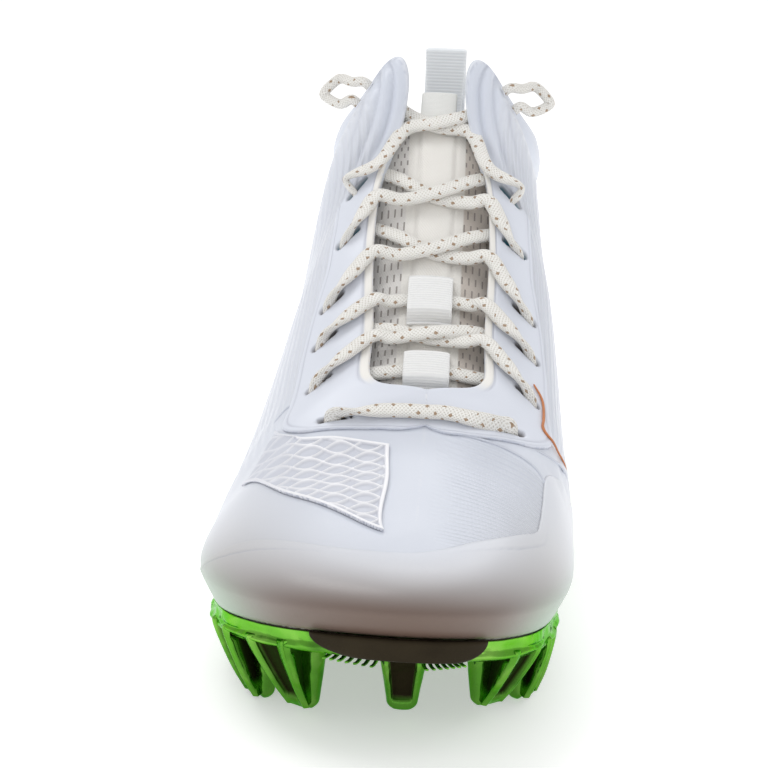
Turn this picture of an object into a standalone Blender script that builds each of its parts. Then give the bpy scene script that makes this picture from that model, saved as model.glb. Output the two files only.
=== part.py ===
"""Right-foot american football cleat, mid cut, standing empty on its studs.

Metres, +Z up, toe towards -Y, heel towards +Y, medial side towards +X.
The upper is worked out once as a surface over two parameters, and every piece
that lies on it, under it or through it reads that same surface.

Along the shoe, u runs round the loop: 0 at the back of the heel, 1 at the tip
of the toe by the lateral side, 2 at the heel again by the medial side.
Up the wall, v runs from 0 at the featherline to 1 at the top edge, which is
the collar, then the ear, then the throat, and then the ridge over the toes.
"""

import math

import bmesh
import bpy
import numpy as np
from mathutils import Matrix

# Main sizes of the last
LENGTH = 0.298
BALL_WIDTH = 0.106
HEEL_WIDTH = 0.079
HEEL_HEIGHT = 0.111
EAR_HEIGHT = 0.1435
INSTEP_HEIGHT = 0.107
TOE_HEIGHT = 0.0352
THROAT_WIDTH = 0.040
COLLAR_WIDTH = 0.070
WIDEST_HEIGHT = 0.016
FEATHER_TUCK = 0.006

# Sole line above the floor
STUD_HEIGHT = 0.012
PLATE_THICKNESS = 0.0035
TOE_SPRING = 0.0170
TOE_BREAK = 0.36
ARCH_RISE = 0.0040
HEEL_LIFT = 0.0020

# Walls, clearances and layers
CLEARANCE = 0.0003
LAYER_GAP = 0.0005
UPPER_WALL = 0.0022
COLLAR_PADDING = 0.0052
EYESTAY_THICKNESS = 0.0010
TOE_CAP_THICKNESS = 0.0010
INSOLE_THICKNESS = 0.0040
TONGUE_THICKNESS = 0.0030
TONGUE_WIDTH = 0.044
RIM_THICKNESS = 0.0016
RIM_HEIGHT = 0.020
SHANK_RIB_HEIGHT = 0.0022
TOE_INSERT_THICKNESS = 0.0010
TOE_INSERT_SPAN = (0.9825, 1.0225)

# Straps and laces
KEEPER_WIDTH = 0.0135
KEEPER_THICKNESS = 0.0009
KEEPER_REACH = 0.056
TONGUE_TAB_WIDTH = 0.0115
TONGUE_TAB_HEIGHT = 0.0085
PULL_TAB_WIDTH = 0.0155
PULL_TAB_THICKNESS = 0.0013
PULL_TAB_HEIGHT = 0.0260
LACE_WIDTH = 0.0054
LACE_THICKNESS = 0.0026
LACE_LOOP_REACH = 0.0130
EYELET_LENGTH = 0.0065
EYELET_WIDTH = 0.0032

# Studs
STUD_LENGTH = 0.0135
STUD_WIDTH = 0.0110
STUD_TIP_SHARE = 0.58
STUD_LEAN = 0.0018
TOE_STUD_LIFT = 0.0050

LACE_LIFT = 0.0009
OVER_EDGE = 1.03
BASE = STUD_HEIGHT + PLATE_THICKNESS + CLEARANCE

# Widest line in plan. along: place on the loop, 0 heel to 1 toe tip.
# back: share of the length behind the toe tip. lateral, medial: shares of the local width.
OUTLINE = [
    # along, back, lateral, medial
    (0.000, 1.000, 0.000, 0.000),
    (0.050, 0.987, -0.243, 0.237),
    (0.110, 0.945, -0.408, 0.395),
    (0.180, 0.870, -0.486, 0.476),
    (0.260, 0.775, -0.490, 0.475),
    (0.350, 0.680, -0.465, 0.420),
    (0.460, 0.592, -0.450, 0.388),
    (0.580, 0.490, -0.475, 0.402),
    (0.665, 0.400, -0.502, 0.422),
    (0.742, 0.315, -0.520, 0.438),
    (0.820, 0.235, -0.524, 0.442),
    (0.865, 0.173, -0.514, 0.430),
    (0.905, 0.118, -0.474, 0.402),
    (0.938, 0.073, -0.405, 0.354),
    (0.966, 0.036, -0.300, 0.280),
    (0.986, 0.012, -0.160, 0.180),
    (1.000, 0.000, 0.025, 0.025),
]

# Top edge. gap: half the opening, a share of the width that "across" names.
# height: share above the base of the size that "of" names.
TOPLINE = [
    # along, back, gap, across, height, of
    (0.000, 0.972, 0.000, "collar", 1.000, "heel"),
    (0.050, 0.962, 0.207, "collar", 0.998, "heel"),
    (0.110, 0.927, 0.370, "collar", 0.985, "heel"),
    (0.180, 0.862, 0.465, "collar", 0.972, "heel"),
    (0.260, 0.785, 0.500, "collar", 0.980, "heel"),
    (0.330, 0.715, 0.490, "collar", 1.035, "heel"),
    (0.380, 0.668, 0.430, "collar", 0.852, "ear"),
    (0.415, 0.645, 0.345, "collar", 0.912, "ear"),
    (0.445, 0.628, 0.262, "collar", 0.974, "ear"),
    (0.475, 0.611, 0.190, "collar", 0.998, "ear"),
    (0.505, 0.598, 0.143, "collar", 0.962, "ear"),
    (0.535, 0.586, 0.150, "collar", 0.884, "ear"),
    (0.565, 0.567, 0.345, "throat", 1.085, "instep"),
    (0.600, 0.540, 0.430, "throat", 1.000, "instep"),
    (0.650, 0.485, 0.470, "throat", 0.848, "instep"),
    (0.700, 0.425, 0.455, "throat", 0.711, "instep"),
    (0.745, 0.370, 0.440, "throat", 0.610, "instep"),
    (0.775, 0.330, 0.440, "throat", 0.556, "instep"),
    (0.800, 0.316, 0.300, "throat", 0.538, "instep"),
    (0.820, 0.312, 0.000, "throat", 0.532, "instep"),
    (0.860, 0.265, 0.000, "throat", 1.340, "toe"),
    (0.910, 0.205, 0.000, "throat", 1.165, "toe"),
    (0.960, 0.155, 0.000, "throat", 1.045, "toe"),
    (1.000, 0.130, 0.000, "throat", 1.000, "toe"),
]
VAMP_POINT = 0.820

# Shape of the wall between the featherline and the top edge.
# tuck, widest: shares of FEATHER_TUCK and WIDEST_HEIGHT. lateral_in, medial_in,
# shoulder_up: where the wall's middle point lies between the widest point and the top edge.
# level: how level the wall arrives at its top edge, 1 on the ridge and 0 on the collar.
WALL_SHAPE = [
    # along, tuck, widest, lateral_in, medial_in, shoulder_up, level
    (0.00, 0.80, 1.60, 1.12, 1.12, 0.60, 0.00),
    (0.12, 0.80, 1.50, 1.05, 1.05, 0.58, 0.00),
    (0.26, 0.95, 1.30, 0.90, 0.85, 0.58, 0.00),
    (0.36, 1.05, 1.20, 0.54, 0.38, 0.66, 0.00),
    (0.46, 1.05, 1.10, 0.38, 0.24, 0.70, 0.00),
    (0.54, 1.00, 1.05, 0.40, 0.20, 0.68, 0.15),
    (0.62, 0.95, 1.00, 0.43, 0.18, 0.66, 0.50),
    (0.70, 0.95, 0.95, 0.42, 0.20, 0.66, 0.75),
    (0.80, 0.95, 0.85, 0.40, 0.24, 0.68, 1.00),
    (0.90, 0.90, 0.75, 0.31, 0.28, 0.71, 1.00),
    (1.00, 0.80, 0.60, 0.25, 0.25, 0.74, 1.00),
]
RIDGE_SHIFT = 0.004

# Height of the wall's knots in v
V_WIDEST = 0.16
V_SHOULDER = 0.60
FULLNESS = 0.55

# Sole rim above the featherline, a share of RIM_HEIGHT
RIM_LINE = [
    # along, rim
    (0.00, 1.00),
    (0.14, 0.92),
    (0.30, 0.66),
    (0.46, 0.46),
    (0.60, 0.26),
    (0.76, 0.20),
    (0.90, 0.14),
    (1.00, 0.10),
]

# Lace slots, from the vamp to the ear. along and up: the slot's place on the wall.
# crossing: share of the length at which the row's two strands cross on the tongue.
# reach: how far past the middle a strand goes, a share of half the throat.
EYELETS = [
    # along, up, crossing, reach
    (0.820, 0.735, 0.300, 0.50),
    (0.762, 0.790, 0.380, 0.50),
    (0.715, 0.788, 0.424, 0.50),
    (0.680, 0.808, 0.474, 0.50),
    (0.632, 0.862, 0.527, 0.50),
    (0.576, 0.842, 0.572, 0.20),
]
INNER_BAR = 0.343

# Lower edge of the eyestay, from the ear to the ridge in front of the throat
EYESTAY_LINE = [
    # along, up
    (0.566, 0.720),
    (0.600, 0.755),
    (0.640, 0.755),
    (0.680, 0.700),
    (0.720, 0.670),
    (0.765, 0.660),
    (0.800, 0.610),
    (0.820, 0.635),
    (0.830, 0.710),
    (0.842, 0.850),
    (0.853, 0.930),
    (0.866, 1.000),
]

# Upper edge of the toe cap, from the lateral side round the toe to the medial side
TOE_CAP_LINE = [
    # round the loop, up
    (0.885, 0.120),
    (0.910, 0.360),
    (0.930, 0.510),
    (0.950, 0.620),
    (0.970, 0.700),
    (0.985, 0.755),
    (1.000, 0.800),
    (1.015, 0.805),
    (1.040, 0.750),
    (1.070, 0.640),
    (1.100, 0.530),
    (1.130, 0.545),
    (1.165, 0.560),
    (1.195, 0.480),
    (1.225, 0.330),
    (1.255, 0.120),
]
TOE_CAP_FOOT = 0.075

# How far the eyestay reaches in over the throat, in v past the top edge
EYESTAY_OVERHANG = 0.02

# Studs. back: share of the length behind the toe tip. across: share of the way from
# the middle to the plate's edge. lift: share of TOE_STUD_LIFT. turn: degrees from
# facing forward to facing the side.
STUDS = [
    # name, back, across, lift, turn
    ("toe", 0.092, 0.15, 1.10, 0),
    ("lateral_1", 0.098, -0.52, 0.65, -30),
    ("lateral_2", 0.138, -0.75, 0.00, -58),
    ("lateral_3", 0.212, -0.86, 0.00, -82),
    ("lateral_4", 0.300, -0.87, 0.00, -92),
    ("lateral_5", 0.388, -0.87, 0.00, -96),
    ("medial_1", 0.116, 0.69, 0.90, 38),
    ("medial_2", 0.164, 0.87, 0.10, 66),
    ("medial_3", 0.250, 0.88, 0.00, 84),
    ("medial_4", 0.350, 0.87, 0.00, 98),
    ("heel_lateral_1", 0.770, -0.80, 0.00, -92),
    ("heel_lateral_2", 0.905, -0.74, 0.00, -68),
    ("heel_medial_1", 0.770, 0.80, 0.00, 92),
    ("heel_medial_2", 0.905, 0.74, 0.00, 68),
]

# Materials: colour, roughness, metallic
MATERIALS = {
    "upper_film": ((0.86, 0.87, 0.90), 0.42, 0.0),
    "collar_knit": ((0.80, 0.83, 0.86), 0.75, 0.0),
    "tongue_mesh": ((0.78, 0.74, 0.70), 0.80, 0.0),
    "webbing": ((0.90, 0.92, 0.94), 0.60, 0.0),
    "lace": ((0.88, 0.86, 0.80), 0.70, 0.0),
    "insole_foam": ((0.30, 0.32, 0.34), 0.85, 0.0),
    "green_chrome": ((0.10, 0.42, 0.05), 0.18, 0.9),
    "dark_plate": ((0.05, 0.04, 0.03), 0.45, 0.0),
}


# Splines and surface of the last


def loop_spline(along, lateral, medial):
    """Closed cubic spline round the loop: lateral values out, medial values back."""
    along = np.asarray(along, float)
    inner = slice(1, len(along) - 1)
    knots = np.concatenate([along, (2.0 - along[inner])[::-1]])
    values = np.concatenate([lateral, np.asarray(medial, float)[inner][::-1]])
    count = len(knots)
    step = np.diff(np.append(knots, knots[0] + 2.0))
    rise = np.diff(np.append(values, values[0])) / step
    system = np.zeros((count, count))
    for i in range(count):
        before, after = (i - 1) % count, (i + 1) % count
        system[i, before] += step[before]
        system[i, i] += 2.0 * (step[before] + step[i])
        system[i, after] += step[i]
    bend = np.linalg.solve(system, 6.0 * (rise - np.roll(rise, 1)))

    def at(u):
        u = np.mod(np.asarray(u, float), 2.0)
        i = np.clip(np.searchsorted(knots, u, side="right") - 1, 0, count - 1)
        j = (i + 1) % count
        right = (u - knots[i]) / step[i]
        left = 1.0 - right
        cubic = (left**3 - left) * bend[i] + (right**3 - right) * bend[j]
        return left * values[i] + right * values[j] + cubic * step[i] ** 2 / 6.0

    return at


def smooth_step(value, low, high):
    """0 below low, 1 above high, and a smooth S between."""
    share = np.clip((np.asarray(value, float) - low) / (high - low), 0.0, 1.0)
    return share * share * (3.0 - 2.0 * share)


def along_of(u):
    """The place between heel, 0, and toe tip, 1, whichever side u is on."""
    u = np.mod(np.asarray(u, float), 2.0)
    return np.where(u > 1.0, 2.0 - u, u)


def column(table, index):
    return np.array([row[index] for row in table], float)


def local_width(back):
    """Width that the outline's shares are of: the heel's behind, the ball's in front."""
    heel = smooth_step(back, 0.50, 0.85)
    return HEEL_WIDTH * heel + BALL_WIDTH * (1.0 - heel)


def lengthwise(back):
    """Y of a share of the length behind the toe tip."""
    return (np.asarray(back, float) - 0.5) * LENGTH


def feather_height(back):
    """Height of the upper's bottom edge: toe spring, arch and a slight heel lift."""
    toe = TOE_SPRING * np.clip((TOE_BREAK - back) / TOE_BREAK, 0.0, 1.0) ** 1.8
    arch = ARCH_RISE * np.exp(-(((back - 0.56) / 0.13) ** 2))
    heel = HEEL_LIFT * smooth_step(back, 0.60, 0.85)
    return BASE + toe + arch + heel


ACROSS = {"collar": COLLAR_WIDTH, "throat": THROAT_WIDTH}
HEIGHTS = {"heel": HEEL_HEIGHT, "ear": EAR_HEIGHT, "instep": INSTEP_HEIGHT, "toe": TOE_HEIGHT}

_along = column(OUTLINE, 0)
_width = local_width(column(OUTLINE, 1))
outline_back = loop_spline(_along, column(OUTLINE, 1), column(OUTLINE, 1))
outline_x = loop_spline(_along, column(OUTLINE, 2) * _width, column(OUTLINE, 3) * _width)

_top_along = column(TOPLINE, 0)
_top_gap = np.array([row[2] * ACROSS[row[3]] for row in TOPLINE])
_top_height = np.array([row[4] * HEIGHTS[row[5]] for row in TOPLINE])
top_back = loop_spline(_top_along, column(TOPLINE, 1), column(TOPLINE, 1))
top_height = loop_spline(_top_along, _top_height, _top_height)
top_gap = loop_spline(_top_along, -_top_gap, _top_gap)
wall = [
    loop_spline(column(WALL_SHAPE, 0), column(WALL_SHAPE, i), column(WALL_SHAPE, j))
    for i, j in ((1, 1), (2, 2), (3, 4), (5, 5), (6, 6))
]
rim_share = loop_spline(column(RIM_LINE, 0), column(RIM_LINE, 1), column(RIM_LINE, 1))


def ridge_x(u):
    """The ridge and the throat lean towards the medial side in front."""
    return RIDGE_SHIFT * smooth_step(along_of(u), 0.45, 0.90)


def top_edge(u):
    """Points of the collar, ears, throat and ridge."""
    gap = np.where(along_of(u) >= VAMP_POINT - 1e-9, 0.0, top_gap(u))
    return np.stack([ridge_x(u) + gap, lengthwise(top_back(u)), BASE + top_height(u)], -1)


def ridge_slope(u):
    """Rise of the top edge for each metre backwards, where it is the ridge."""
    place = np.clip(along_of(u), VAMP_POINT, 0.97)
    ahead, behind = top_edge(place + 0.01), top_edge(place - 0.01)
    return (behind[..., 2] - ahead[..., 2]) / (behind[..., 1] - ahead[..., 1])


def outward(u):
    """Level direction out of the plan outline."""
    step = 1e-4
    run = np.stack([outline_x(u + step) - outline_x(u - step),
                    lengthwise(outline_back(u + step)) - lengthwise(outline_back(u - step))], -1)
    run /= np.linalg.norm(run, axis=-1, keepdims=True)
    return np.stack([run[..., 1], -run[..., 0], np.zeros(run.shape[:-1])], -1)


def wall_knots(u):
    """Featherline, widest point, shoulder and top edge at u, with the slopes there."""
    tuck, widest, inward, up, level = (f(u) for f in wall)
    back = outline_back(u)
    base = feather_height(back)
    wide = np.stack([outline_x(u), lengthwise(back), base + widest * WIDEST_HEIGHT], -1)
    foot = wide - outward(u) * (tuck * FEATHER_TUCK)[..., None]
    foot[..., 2] = base
    top = top_edge(u)
    shoulder = wide + (top - wide) * inward[..., None]
    shoulder[..., 2] = wide[..., 2] + (top[..., 2] - wide[..., 2]) * up
    foot_slope = (wide - foot) / V_WIDEST
    wide_slope = np.zeros_like(wide)
    wide_slope[..., 2] = FULLNESS * (shoulder[..., 2] - foot[..., 2]) / V_SHOULDER
    shoulder_slope = (top - wide) / (1.0 - V_WIDEST)
    chord = (top - shoulder) / (1.0 - V_SHOULDER)
    flat = chord.copy()
    flat[..., 2] = ridge_slope(u) * flat[..., 1]
    top_slope = chord + (flat - chord) * level[..., None]
    return [foot, wide, shoulder, top], [foot_slope, wide_slope, shoulder_slope, top_slope]


def surface(u, v):
    """Points of the upper's outside, for arrays u and v of one shape.

    Each wall is a cubic through its four knots with the slopes given there.
    """
    u, v = np.broadcast_arrays(np.asarray(u, float), np.asarray(v, float))
    knots, slopes = wall_knots(u)
    levels = [0.0, V_WIDEST, V_SHOULDER, 1.0]
    result = np.zeros(u.shape + (3,))
    for i in range(3):
        low, high = levels[i], levels[i + 1]
        here = v < high if i == 0 else v >= low
        t = ((v - low) / (high - low))[..., None]
        span = high - low
        curve = (
            (2 * t**3 - 3 * t**2 + 1) * knots[i]
            + (t**3 - 2 * t**2 + t) * span * slopes[i]
            + (3 * t**2 - 2 * t**3) * knots[i + 1]
            + (t**3 - t**2) * span * slopes[i + 1]
        )
        result = np.where(here[..., None], curve, result)
    return result


def normal(u, v):
    """Unit direction out of the upper."""
    u, v = np.broadcast_arrays(np.asarray(u, float), np.asarray(v, float))
    step = 2e-3
    run = surface(u + step, v) - surface(u - step, v)
    low, high = np.maximum(v - step, 0.0), np.minimum(v + step, np.maximum(v, 1.0))
    rise = surface(u, high) - surface(u, low)
    out = np.cross(run, rise)
    slope = ridge_slope(u)
    crest = np.stack([np.zeros_like(slope), -slope, np.ones_like(slope)], -1)
    on_ridge = (along_of(u) >= VAMP_POINT - 1e-9) & (v > 1.0 - 1e-6)
    out = np.where(on_ridge[..., None], crest, out)
    return out / np.linalg.norm(out, axis=-1, keepdims=True)


def wall_thickness(u, v):
    """Thin film wall, with padding round the collar and in the ears."""
    padded = 1.0 - smooth_step(along_of(u), 0.40, 0.50)
    return UPPER_WALL + (COLLAR_PADDING - UPPER_WALL) * padded * smooth_step(v, 0.55, 0.85)


# Mesh helpers


class Skin:
    """Collects the points and faces of one closed piece."""

    def __init__(self):
        self.points = []
        self.faces = []

    def add(self, points):
        points = np.asarray(points, float)
        shape = points.shape[:-1]
        start = len(self.points)
        self.points.extend(points.reshape(-1, 3).tolist())
        return (start + np.arange(int(np.prod(shape)))).reshape(shape)

    def quads(self, grid, closed=False, keep=None):
        """Triangles between neighbouring rows of a grid, all with the same diagonal."""
        rows = grid.shape[0]
        for i in range(rows if closed else rows - 1):
            if keep is not None and not (keep[i] and keep[(i + 1) % rows]):
                continue
            a, b = grid[i], grid[(i + 1) % rows]
            for j in range(grid.shape[1] - 1):
                self.faces.append((int(a[j]), int(b[j]), int(b[j + 1])))
                self.faces.append((int(a[j]), int(b[j + 1]), int(a[j + 1])))

    def fan(self, ring):
        self.faces.append(tuple(int(i) for i in ring))

    def build(self, name, material, smooth=35.0):
        mesh = bpy.data.meshes.new(name)
        mesh.from_pydata(self.points, [], self.faces)
        work = bmesh.new()
        work.from_mesh(mesh)
        bmesh.ops.remove_doubles(work, verts=work.verts, dist=2e-6)
        bmesh.ops.dissolve_degenerate(work, edges=work.edges, dist=1e-7)
        bmesh.ops.recalc_face_normals(work, faces=work.faces)
        work.to_mesh(mesh)
        work.free()
        mesh.shade_smooth()
        mesh.set_sharp_from_angle(angle=math.radians(smooth))
        piece = bpy.data.objects.new(name, mesh)
        bpy.context.scene.collection.objects.link(piece)
        mesh.materials.append(material_of(material))
        piece.parent = bpy.data.objects["cleat"]
        return piece


def material_of(name):
    """A Principled material from the table above."""
    found = bpy.data.materials.get(name)
    if found:
        return found
    colour, roughness, metallic = MATERIALS[name]
    made = bpy.data.materials.new(name)
    made.use_nodes = True
    shader = made.node_tree.nodes["Principled BSDF"]
    shader.inputs["Base Color"].default_value = (*colour, 1.0)
    shader.inputs["Roughness"].default_value = roughness
    shader.inputs["Metallic"].default_value = metallic
    return made


def as_tool(piece):
    """A cutter or joiner: kept out of the model itself."""
    piece.hide_render = True
    piece.display_type = "WIRE"
    return piece


def combine(piece, tool, operation):
    """Joins or cuts piece with tool, exactly."""
    modifier = piece.modifiers.new(operation.lower(), "BOOLEAN")
    modifier.operation = operation
    modifier.solver = "EXACT"
    modifier.object = as_tool(tool)


def loop_stations(back_count, front_count):
    """Places round the loop, with one of them exactly at the vamp point on each side."""
    half = np.concatenate([
        np.linspace(0.0, VAMP_POINT, back_count + 1),
        np.linspace(VAMP_POINT, 1.0, front_count + 1)[1:],
    ])
    return np.concatenate([half, (2.0 - half[1:-1])[::-1]])


HEEL_FAN = np.linspace(0.10, -0.10, 41)
STATIONS = loop_stations(28, 11)
WALL_ROWS = np.array([0.0, 0.07, V_WIDEST, 0.34, V_SHOULDER, 0.74, 0.87, 1.0])


def crossing_rows(skin, edge, columns):
    """Fills a closed loop of edge points with rows from the lateral to the medial side."""
    count = len(edge)
    half = count // 2
    share = np.linspace(0.0, 1.0, columns + 1)
    rows = []
    for i in range(1, half):
        left, right = edge[i], edge[count - i]
        ends = np.array([skin.points[left], skin.points[right]])
        middle = ends[0] + (ends[1] - ends[0]) * share[1:-1, None]
        rows.append((left, middle, right, i))
    return rows


def cap(skin, edge, columns, relief=None):
    """A grid of faces across a loop, dropped by relief(points, share across)."""
    grid = []
    share = np.linspace(0.0, 1.0, columns + 1)[1:-1]
    for left, middle, right, _ in crossing_rows(skin, edge, columns):
        if relief is not None:
            middle = middle.copy()
            middle[:, 2] += relief(middle, share)
        inner = skin.add(middle)
        grid.append(np.concatenate([[left], inner, [right]]))
    grid = np.array(grid)
    skin.quads(grid)
    half = len(edge) // 2
    for row, tip in ((grid[0], edge[0]), (grid[-1], edge[half])):
        for j in range(len(row) - 1):
            skin.faces.append((int(row[j]), int(row[j + 1]), int(tip)))


def layer(u_grid, v_grid, lift, thickness):
    """Outside and inside points of a layer that lies lift above the upper."""
    points, out = surface(u_grid, v_grid), normal(u_grid, v_grid)
    return points + out * (lift + thickness), points + out * lift


def clipped_grid(u, low, high):
    """The upper's own rows at each station, held between the levels low and high."""
    u_grid, v_grid = np.meshgrid(u, WALL_ROWS, indexing="ij")
    return u_grid, np.clip(v_grid, low[:, None], high[:, None])


def line_stations(places, levels):
    """The upper's stations under a line, and those where the line passes one of its rows."""
    fine = np.linspace(places[0], places[-1], 4001)[1:-1]
    height = np.interp(fine, places, levels)
    passed = [fine[1:][np.diff(np.sign(height - row)) != 0] for row in WALL_ROWS]
    own = STATIONS[(STATIONS > places[0]) & (STATIONS < places[-1])]
    u = np.unique(np.concatenate([own] + passed))
    return u[np.append(True, np.diff(u) > 1e-3)]


def close_edges(skin, top, under):
    """Side faces between two grids of one shape."""
    ends = [(top[0], under[0]), (top[-1], under[-1])]
    sides = [(top[:, 0], under[:, 0]), (top[:, -1], under[:, -1])]
    for a, b in ends + sides:
        skin.quads(np.stack([a, b], -1))


# Upper and its layers


def build_upper():
    """One hollow wall: open at the collar and throat, and underneath for the sole."""
    u = STATIONS
    u_grid, v_grid = np.meshgrid(u, WALL_ROWS, indexing="ij")
    outer, out = surface(u_grid, v_grid), normal(u_grid, v_grid)
    thick = wall_thickness(u_grid, v_grid)[..., None]
    inner = outer - out * thick
    inner[:, 0, 2] = outer[:, 0, 2]
    skin = Skin()
    outside, inside = skin.add(outer), skin.add(inner)
    skin.quads(outside, closed=True)
    skin.quads(inside, closed=True)
    skin.quads(np.stack([outside[:, 0], inside[:, 0]], -1), closed=True)
    open_edge = along_of(u) <= VAMP_POINT + 1e-9
    rise = surface(u, 1.0) - surface(u, 0.97)
    rise /= np.linalg.norm(rise, axis=-1, keepdims=True)
    bulge = thick[:, -1] * 0.4 * (along_of(u) < VAMP_POINT - 1e-9)[:, None]
    crest = skin.add((outer[:, -1] + inner[:, -1]) / 2 + rise * bulge)
    rim = np.stack([outside[:, -1], crest, inside[:, -1]], -1)
    skin.quads(rim, closed=True, keep=open_edge)
    return skin.build("upper", "upper_film")


def build_eyestay():
    """U-shaped film over both sides of the throat, joined in front of it."""
    places = column(EYESTAY_LINE, 0)
    half = line_stations(places, column(EYESTAY_LINE, 1))
    low = np.interp(half, places, column(EYESTAY_LINE, 1))
    over = np.where(half < VAMP_POINT - 1e-9, 1.0 + EYESTAY_OVERHANG, 1.0)
    edge = half <= VAMP_POINT + 1e-9
    skin = Skin()
    for u, turn in ((half, 1), (2.0 - half, -1)):
        u_grid, v_grid = clipped_grid(u[::turn], low[::turn], np.ones(len(u)))
        u_grid = np.concatenate([u_grid, u_grid[:, -1:]], axis=1)
        v_grid = np.concatenate([v_grid, over[::turn, None]], axis=1)
        outer, inner = layer(u_grid, v_grid, LAYER_GAP, EYESTAY_THICKNESS)
        top, under = skin.add(outer), skin.add(inner)
        skin.quads(top)
        skin.quads(under)
        for a, b in ((top[0], under[0]), (top[-1], under[-1]), (top[:, 0], under[:, 0])):
            skin.quads(np.stack([a, b], -1))
        skin.quads(np.stack([top[:, -1], under[:, -1]], -1), keep=edge[::turn])
    return skin.build("eyestay", "upper_film")


def build_toe_cap():
    """Film layer round the toe, higher at the medial side."""
    places = column(TOE_CAP_LINE, 0)
    u = line_stations(places, column(TOE_CAP_LINE, 1))
    high = np.interp(u, places, column(TOE_CAP_LINE, 1))
    u_grid, v_grid = clipped_grid(u, np.full(len(u), TOE_CAP_FOOT), high)
    outer, inner = layer(u_grid, v_grid, LAYER_GAP, TOE_CAP_THICKNESS)
    skin = Skin()
    top, under = skin.add(outer), skin.add(inner)
    skin.quads(top)
    skin.quads(under)
    close_edges(skin, top, under)
    return skin.build("toe_cap", "upper_film")


def eyelet_places():
    """Every lace slot as (side, row, u, v)."""
    for row, (along, up, _, _) in enumerate(EYELETS):
        yield "lateral", row, along, up
        yield "medial", row, 2.0 - along, up


def slot_frame(u, v):
    """Centre, direction along the slot, direction across it and direction out."""
    centre, out = surface(u, v), normal(u, v)
    along = surface(u - 0.004, v) - surface(u + 0.004, v)
    along -= out * np.dot(along, out)
    along /= np.linalg.norm(along)
    return centre, along, np.cross(out, along), out


def cut_eyelets(pieces):
    """Rounded slots straight through the wall and the eyestay."""
    skin = Skin()
    reach = UPPER_WALL + EYESTAY_THICKNESS + 0.004
    for _, _, u, v in eyelet_places():
        centre, along, across, out = slot_frame(u, v)
        rings = []
        for level in (-reach, reach):
            ring = []
            for turn in np.arange(8) * math.tau / 8 + math.tau / 16:
                x = math.copysign(abs(math.cos(turn)) ** 0.7, math.cos(turn)) * EYELET_LENGTH / 2
                y = math.copysign(abs(math.sin(turn)) ** 0.7, math.sin(turn)) * EYELET_WIDTH / 2
                ring.append(centre + along * x + across * y + out * level)
            rings.append(skin.add(ring))
        skin.quads(np.stack(rings, -1), closed=True)
        skin.fan(rings[0])
        skin.fan(rings[1])
    cutter = skin.build("eyelet_cutter", "upper_film")
    for piece in pieces:
        combine(piece, cutter, "DIFFERENCE")


# Tongue, its straps and the pull tab


TONGUE_LINE = [
    # back, height above the base as a share of INSTEP_HEIGHT, half width share
    (0.262, 0.395, 0.80),
    (0.300, 0.465, 0.86),
    (0.340, 0.548, 0.96),
    (0.400, 0.655, 1.00),
    (0.470, 0.800, 1.00),
    (0.540, 0.985, 0.94),
    (0.580, 1.100, 0.82),
    (0.606, 1.175, 0.66),
]
TONGUE_CURL = 12.0


def tongue_frame(share):
    """Centre, direction up the tongue and direction out, at a share of its length."""
    share = np.atleast_1d(np.asarray(share, float))
    places = np.linspace(0.0, 1.0, len(TONGUE_LINE))
    back = column(TONGUE_LINE, 0)
    height = column(TONGUE_LINE, 1) * INSTEP_HEIGHT

    def at(where):
        y = lengthwise(smooth_table(places, back, where))
        z = BASE + smooth_table(places, height, where)
        x = ridge_x(0.82 - 0.22 * where)
        return np.stack([x, y, z], -1)

    centre = at(share)
    run = at(share + 0.01) - at(share - 0.01)
    run[..., 0] = 0.0
    run /= np.linalg.norm(run, axis=-1, keepdims=True)
    out = np.stack([np.zeros(len(share)), -run[..., 2], run[..., 1]], -1)
    return centre, run, out


def smooth_table(places, values, where):
    """Catmull-Rom through evenly spaced values, carried straight on past the ends."""
    values = np.asarray(values, float)
    step = places[1] - places[0]
    i = np.clip(((where - places[0]) / step).astype(int), 0, len(values) - 2)
    padded = np.concatenate([[2 * values[0] - values[1]], values, [2 * values[-1] - values[-2]]])
    a, b, c, d = padded[i], padded[i + 1], padded[i + 2], padded[i + 3]
    t = (where - places[i]) / step
    inside = 0.5 * (2 * b + (c - a) * t + (2 * a - 5 * b + 4 * c - d) * t**2
                    + (3 * b - a - 3 * c + d) * t**3)
    line = b + (c - b) * t
    return np.where((t < 0) | (t > 1), line, inside)


def tongue_point(share, across, lift=0.0):
    """A point on the tongue's front: across in metres from its centre line."""
    centre, _, out = tongue_frame(share)
    across = np.asarray(across, float)
    drop = lift - TONGUE_CURL * across**2
    side = np.array([1.0, 0.0, 0.0])
    return centre + side * across[..., None] + out * np.asarray(drop)[..., None]


def sheet(name, material, front, rear):
    """A closed piece between two grids of points of one shape."""
    skin = Skin()
    top, under = skin.add(front), skin.add(rear)
    skin.quads(top)
    skin.quads(under)
    close_edges(skin, top, under)
    return skin.build(name, material)


def ribbon(name, material, middle, thickness):
    """Webbing whose middle layer is a grid: along the strap by across it."""
    run = np.gradient(middle, axis=0)
    across = np.gradient(middle, axis=1)
    out = np.cross(run, across)
    out /= np.linalg.norm(out, axis=-1, keepdims=True)
    return sheet(name, material, middle + out * thickness / 2, middle - out * thickness / 2)


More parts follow.
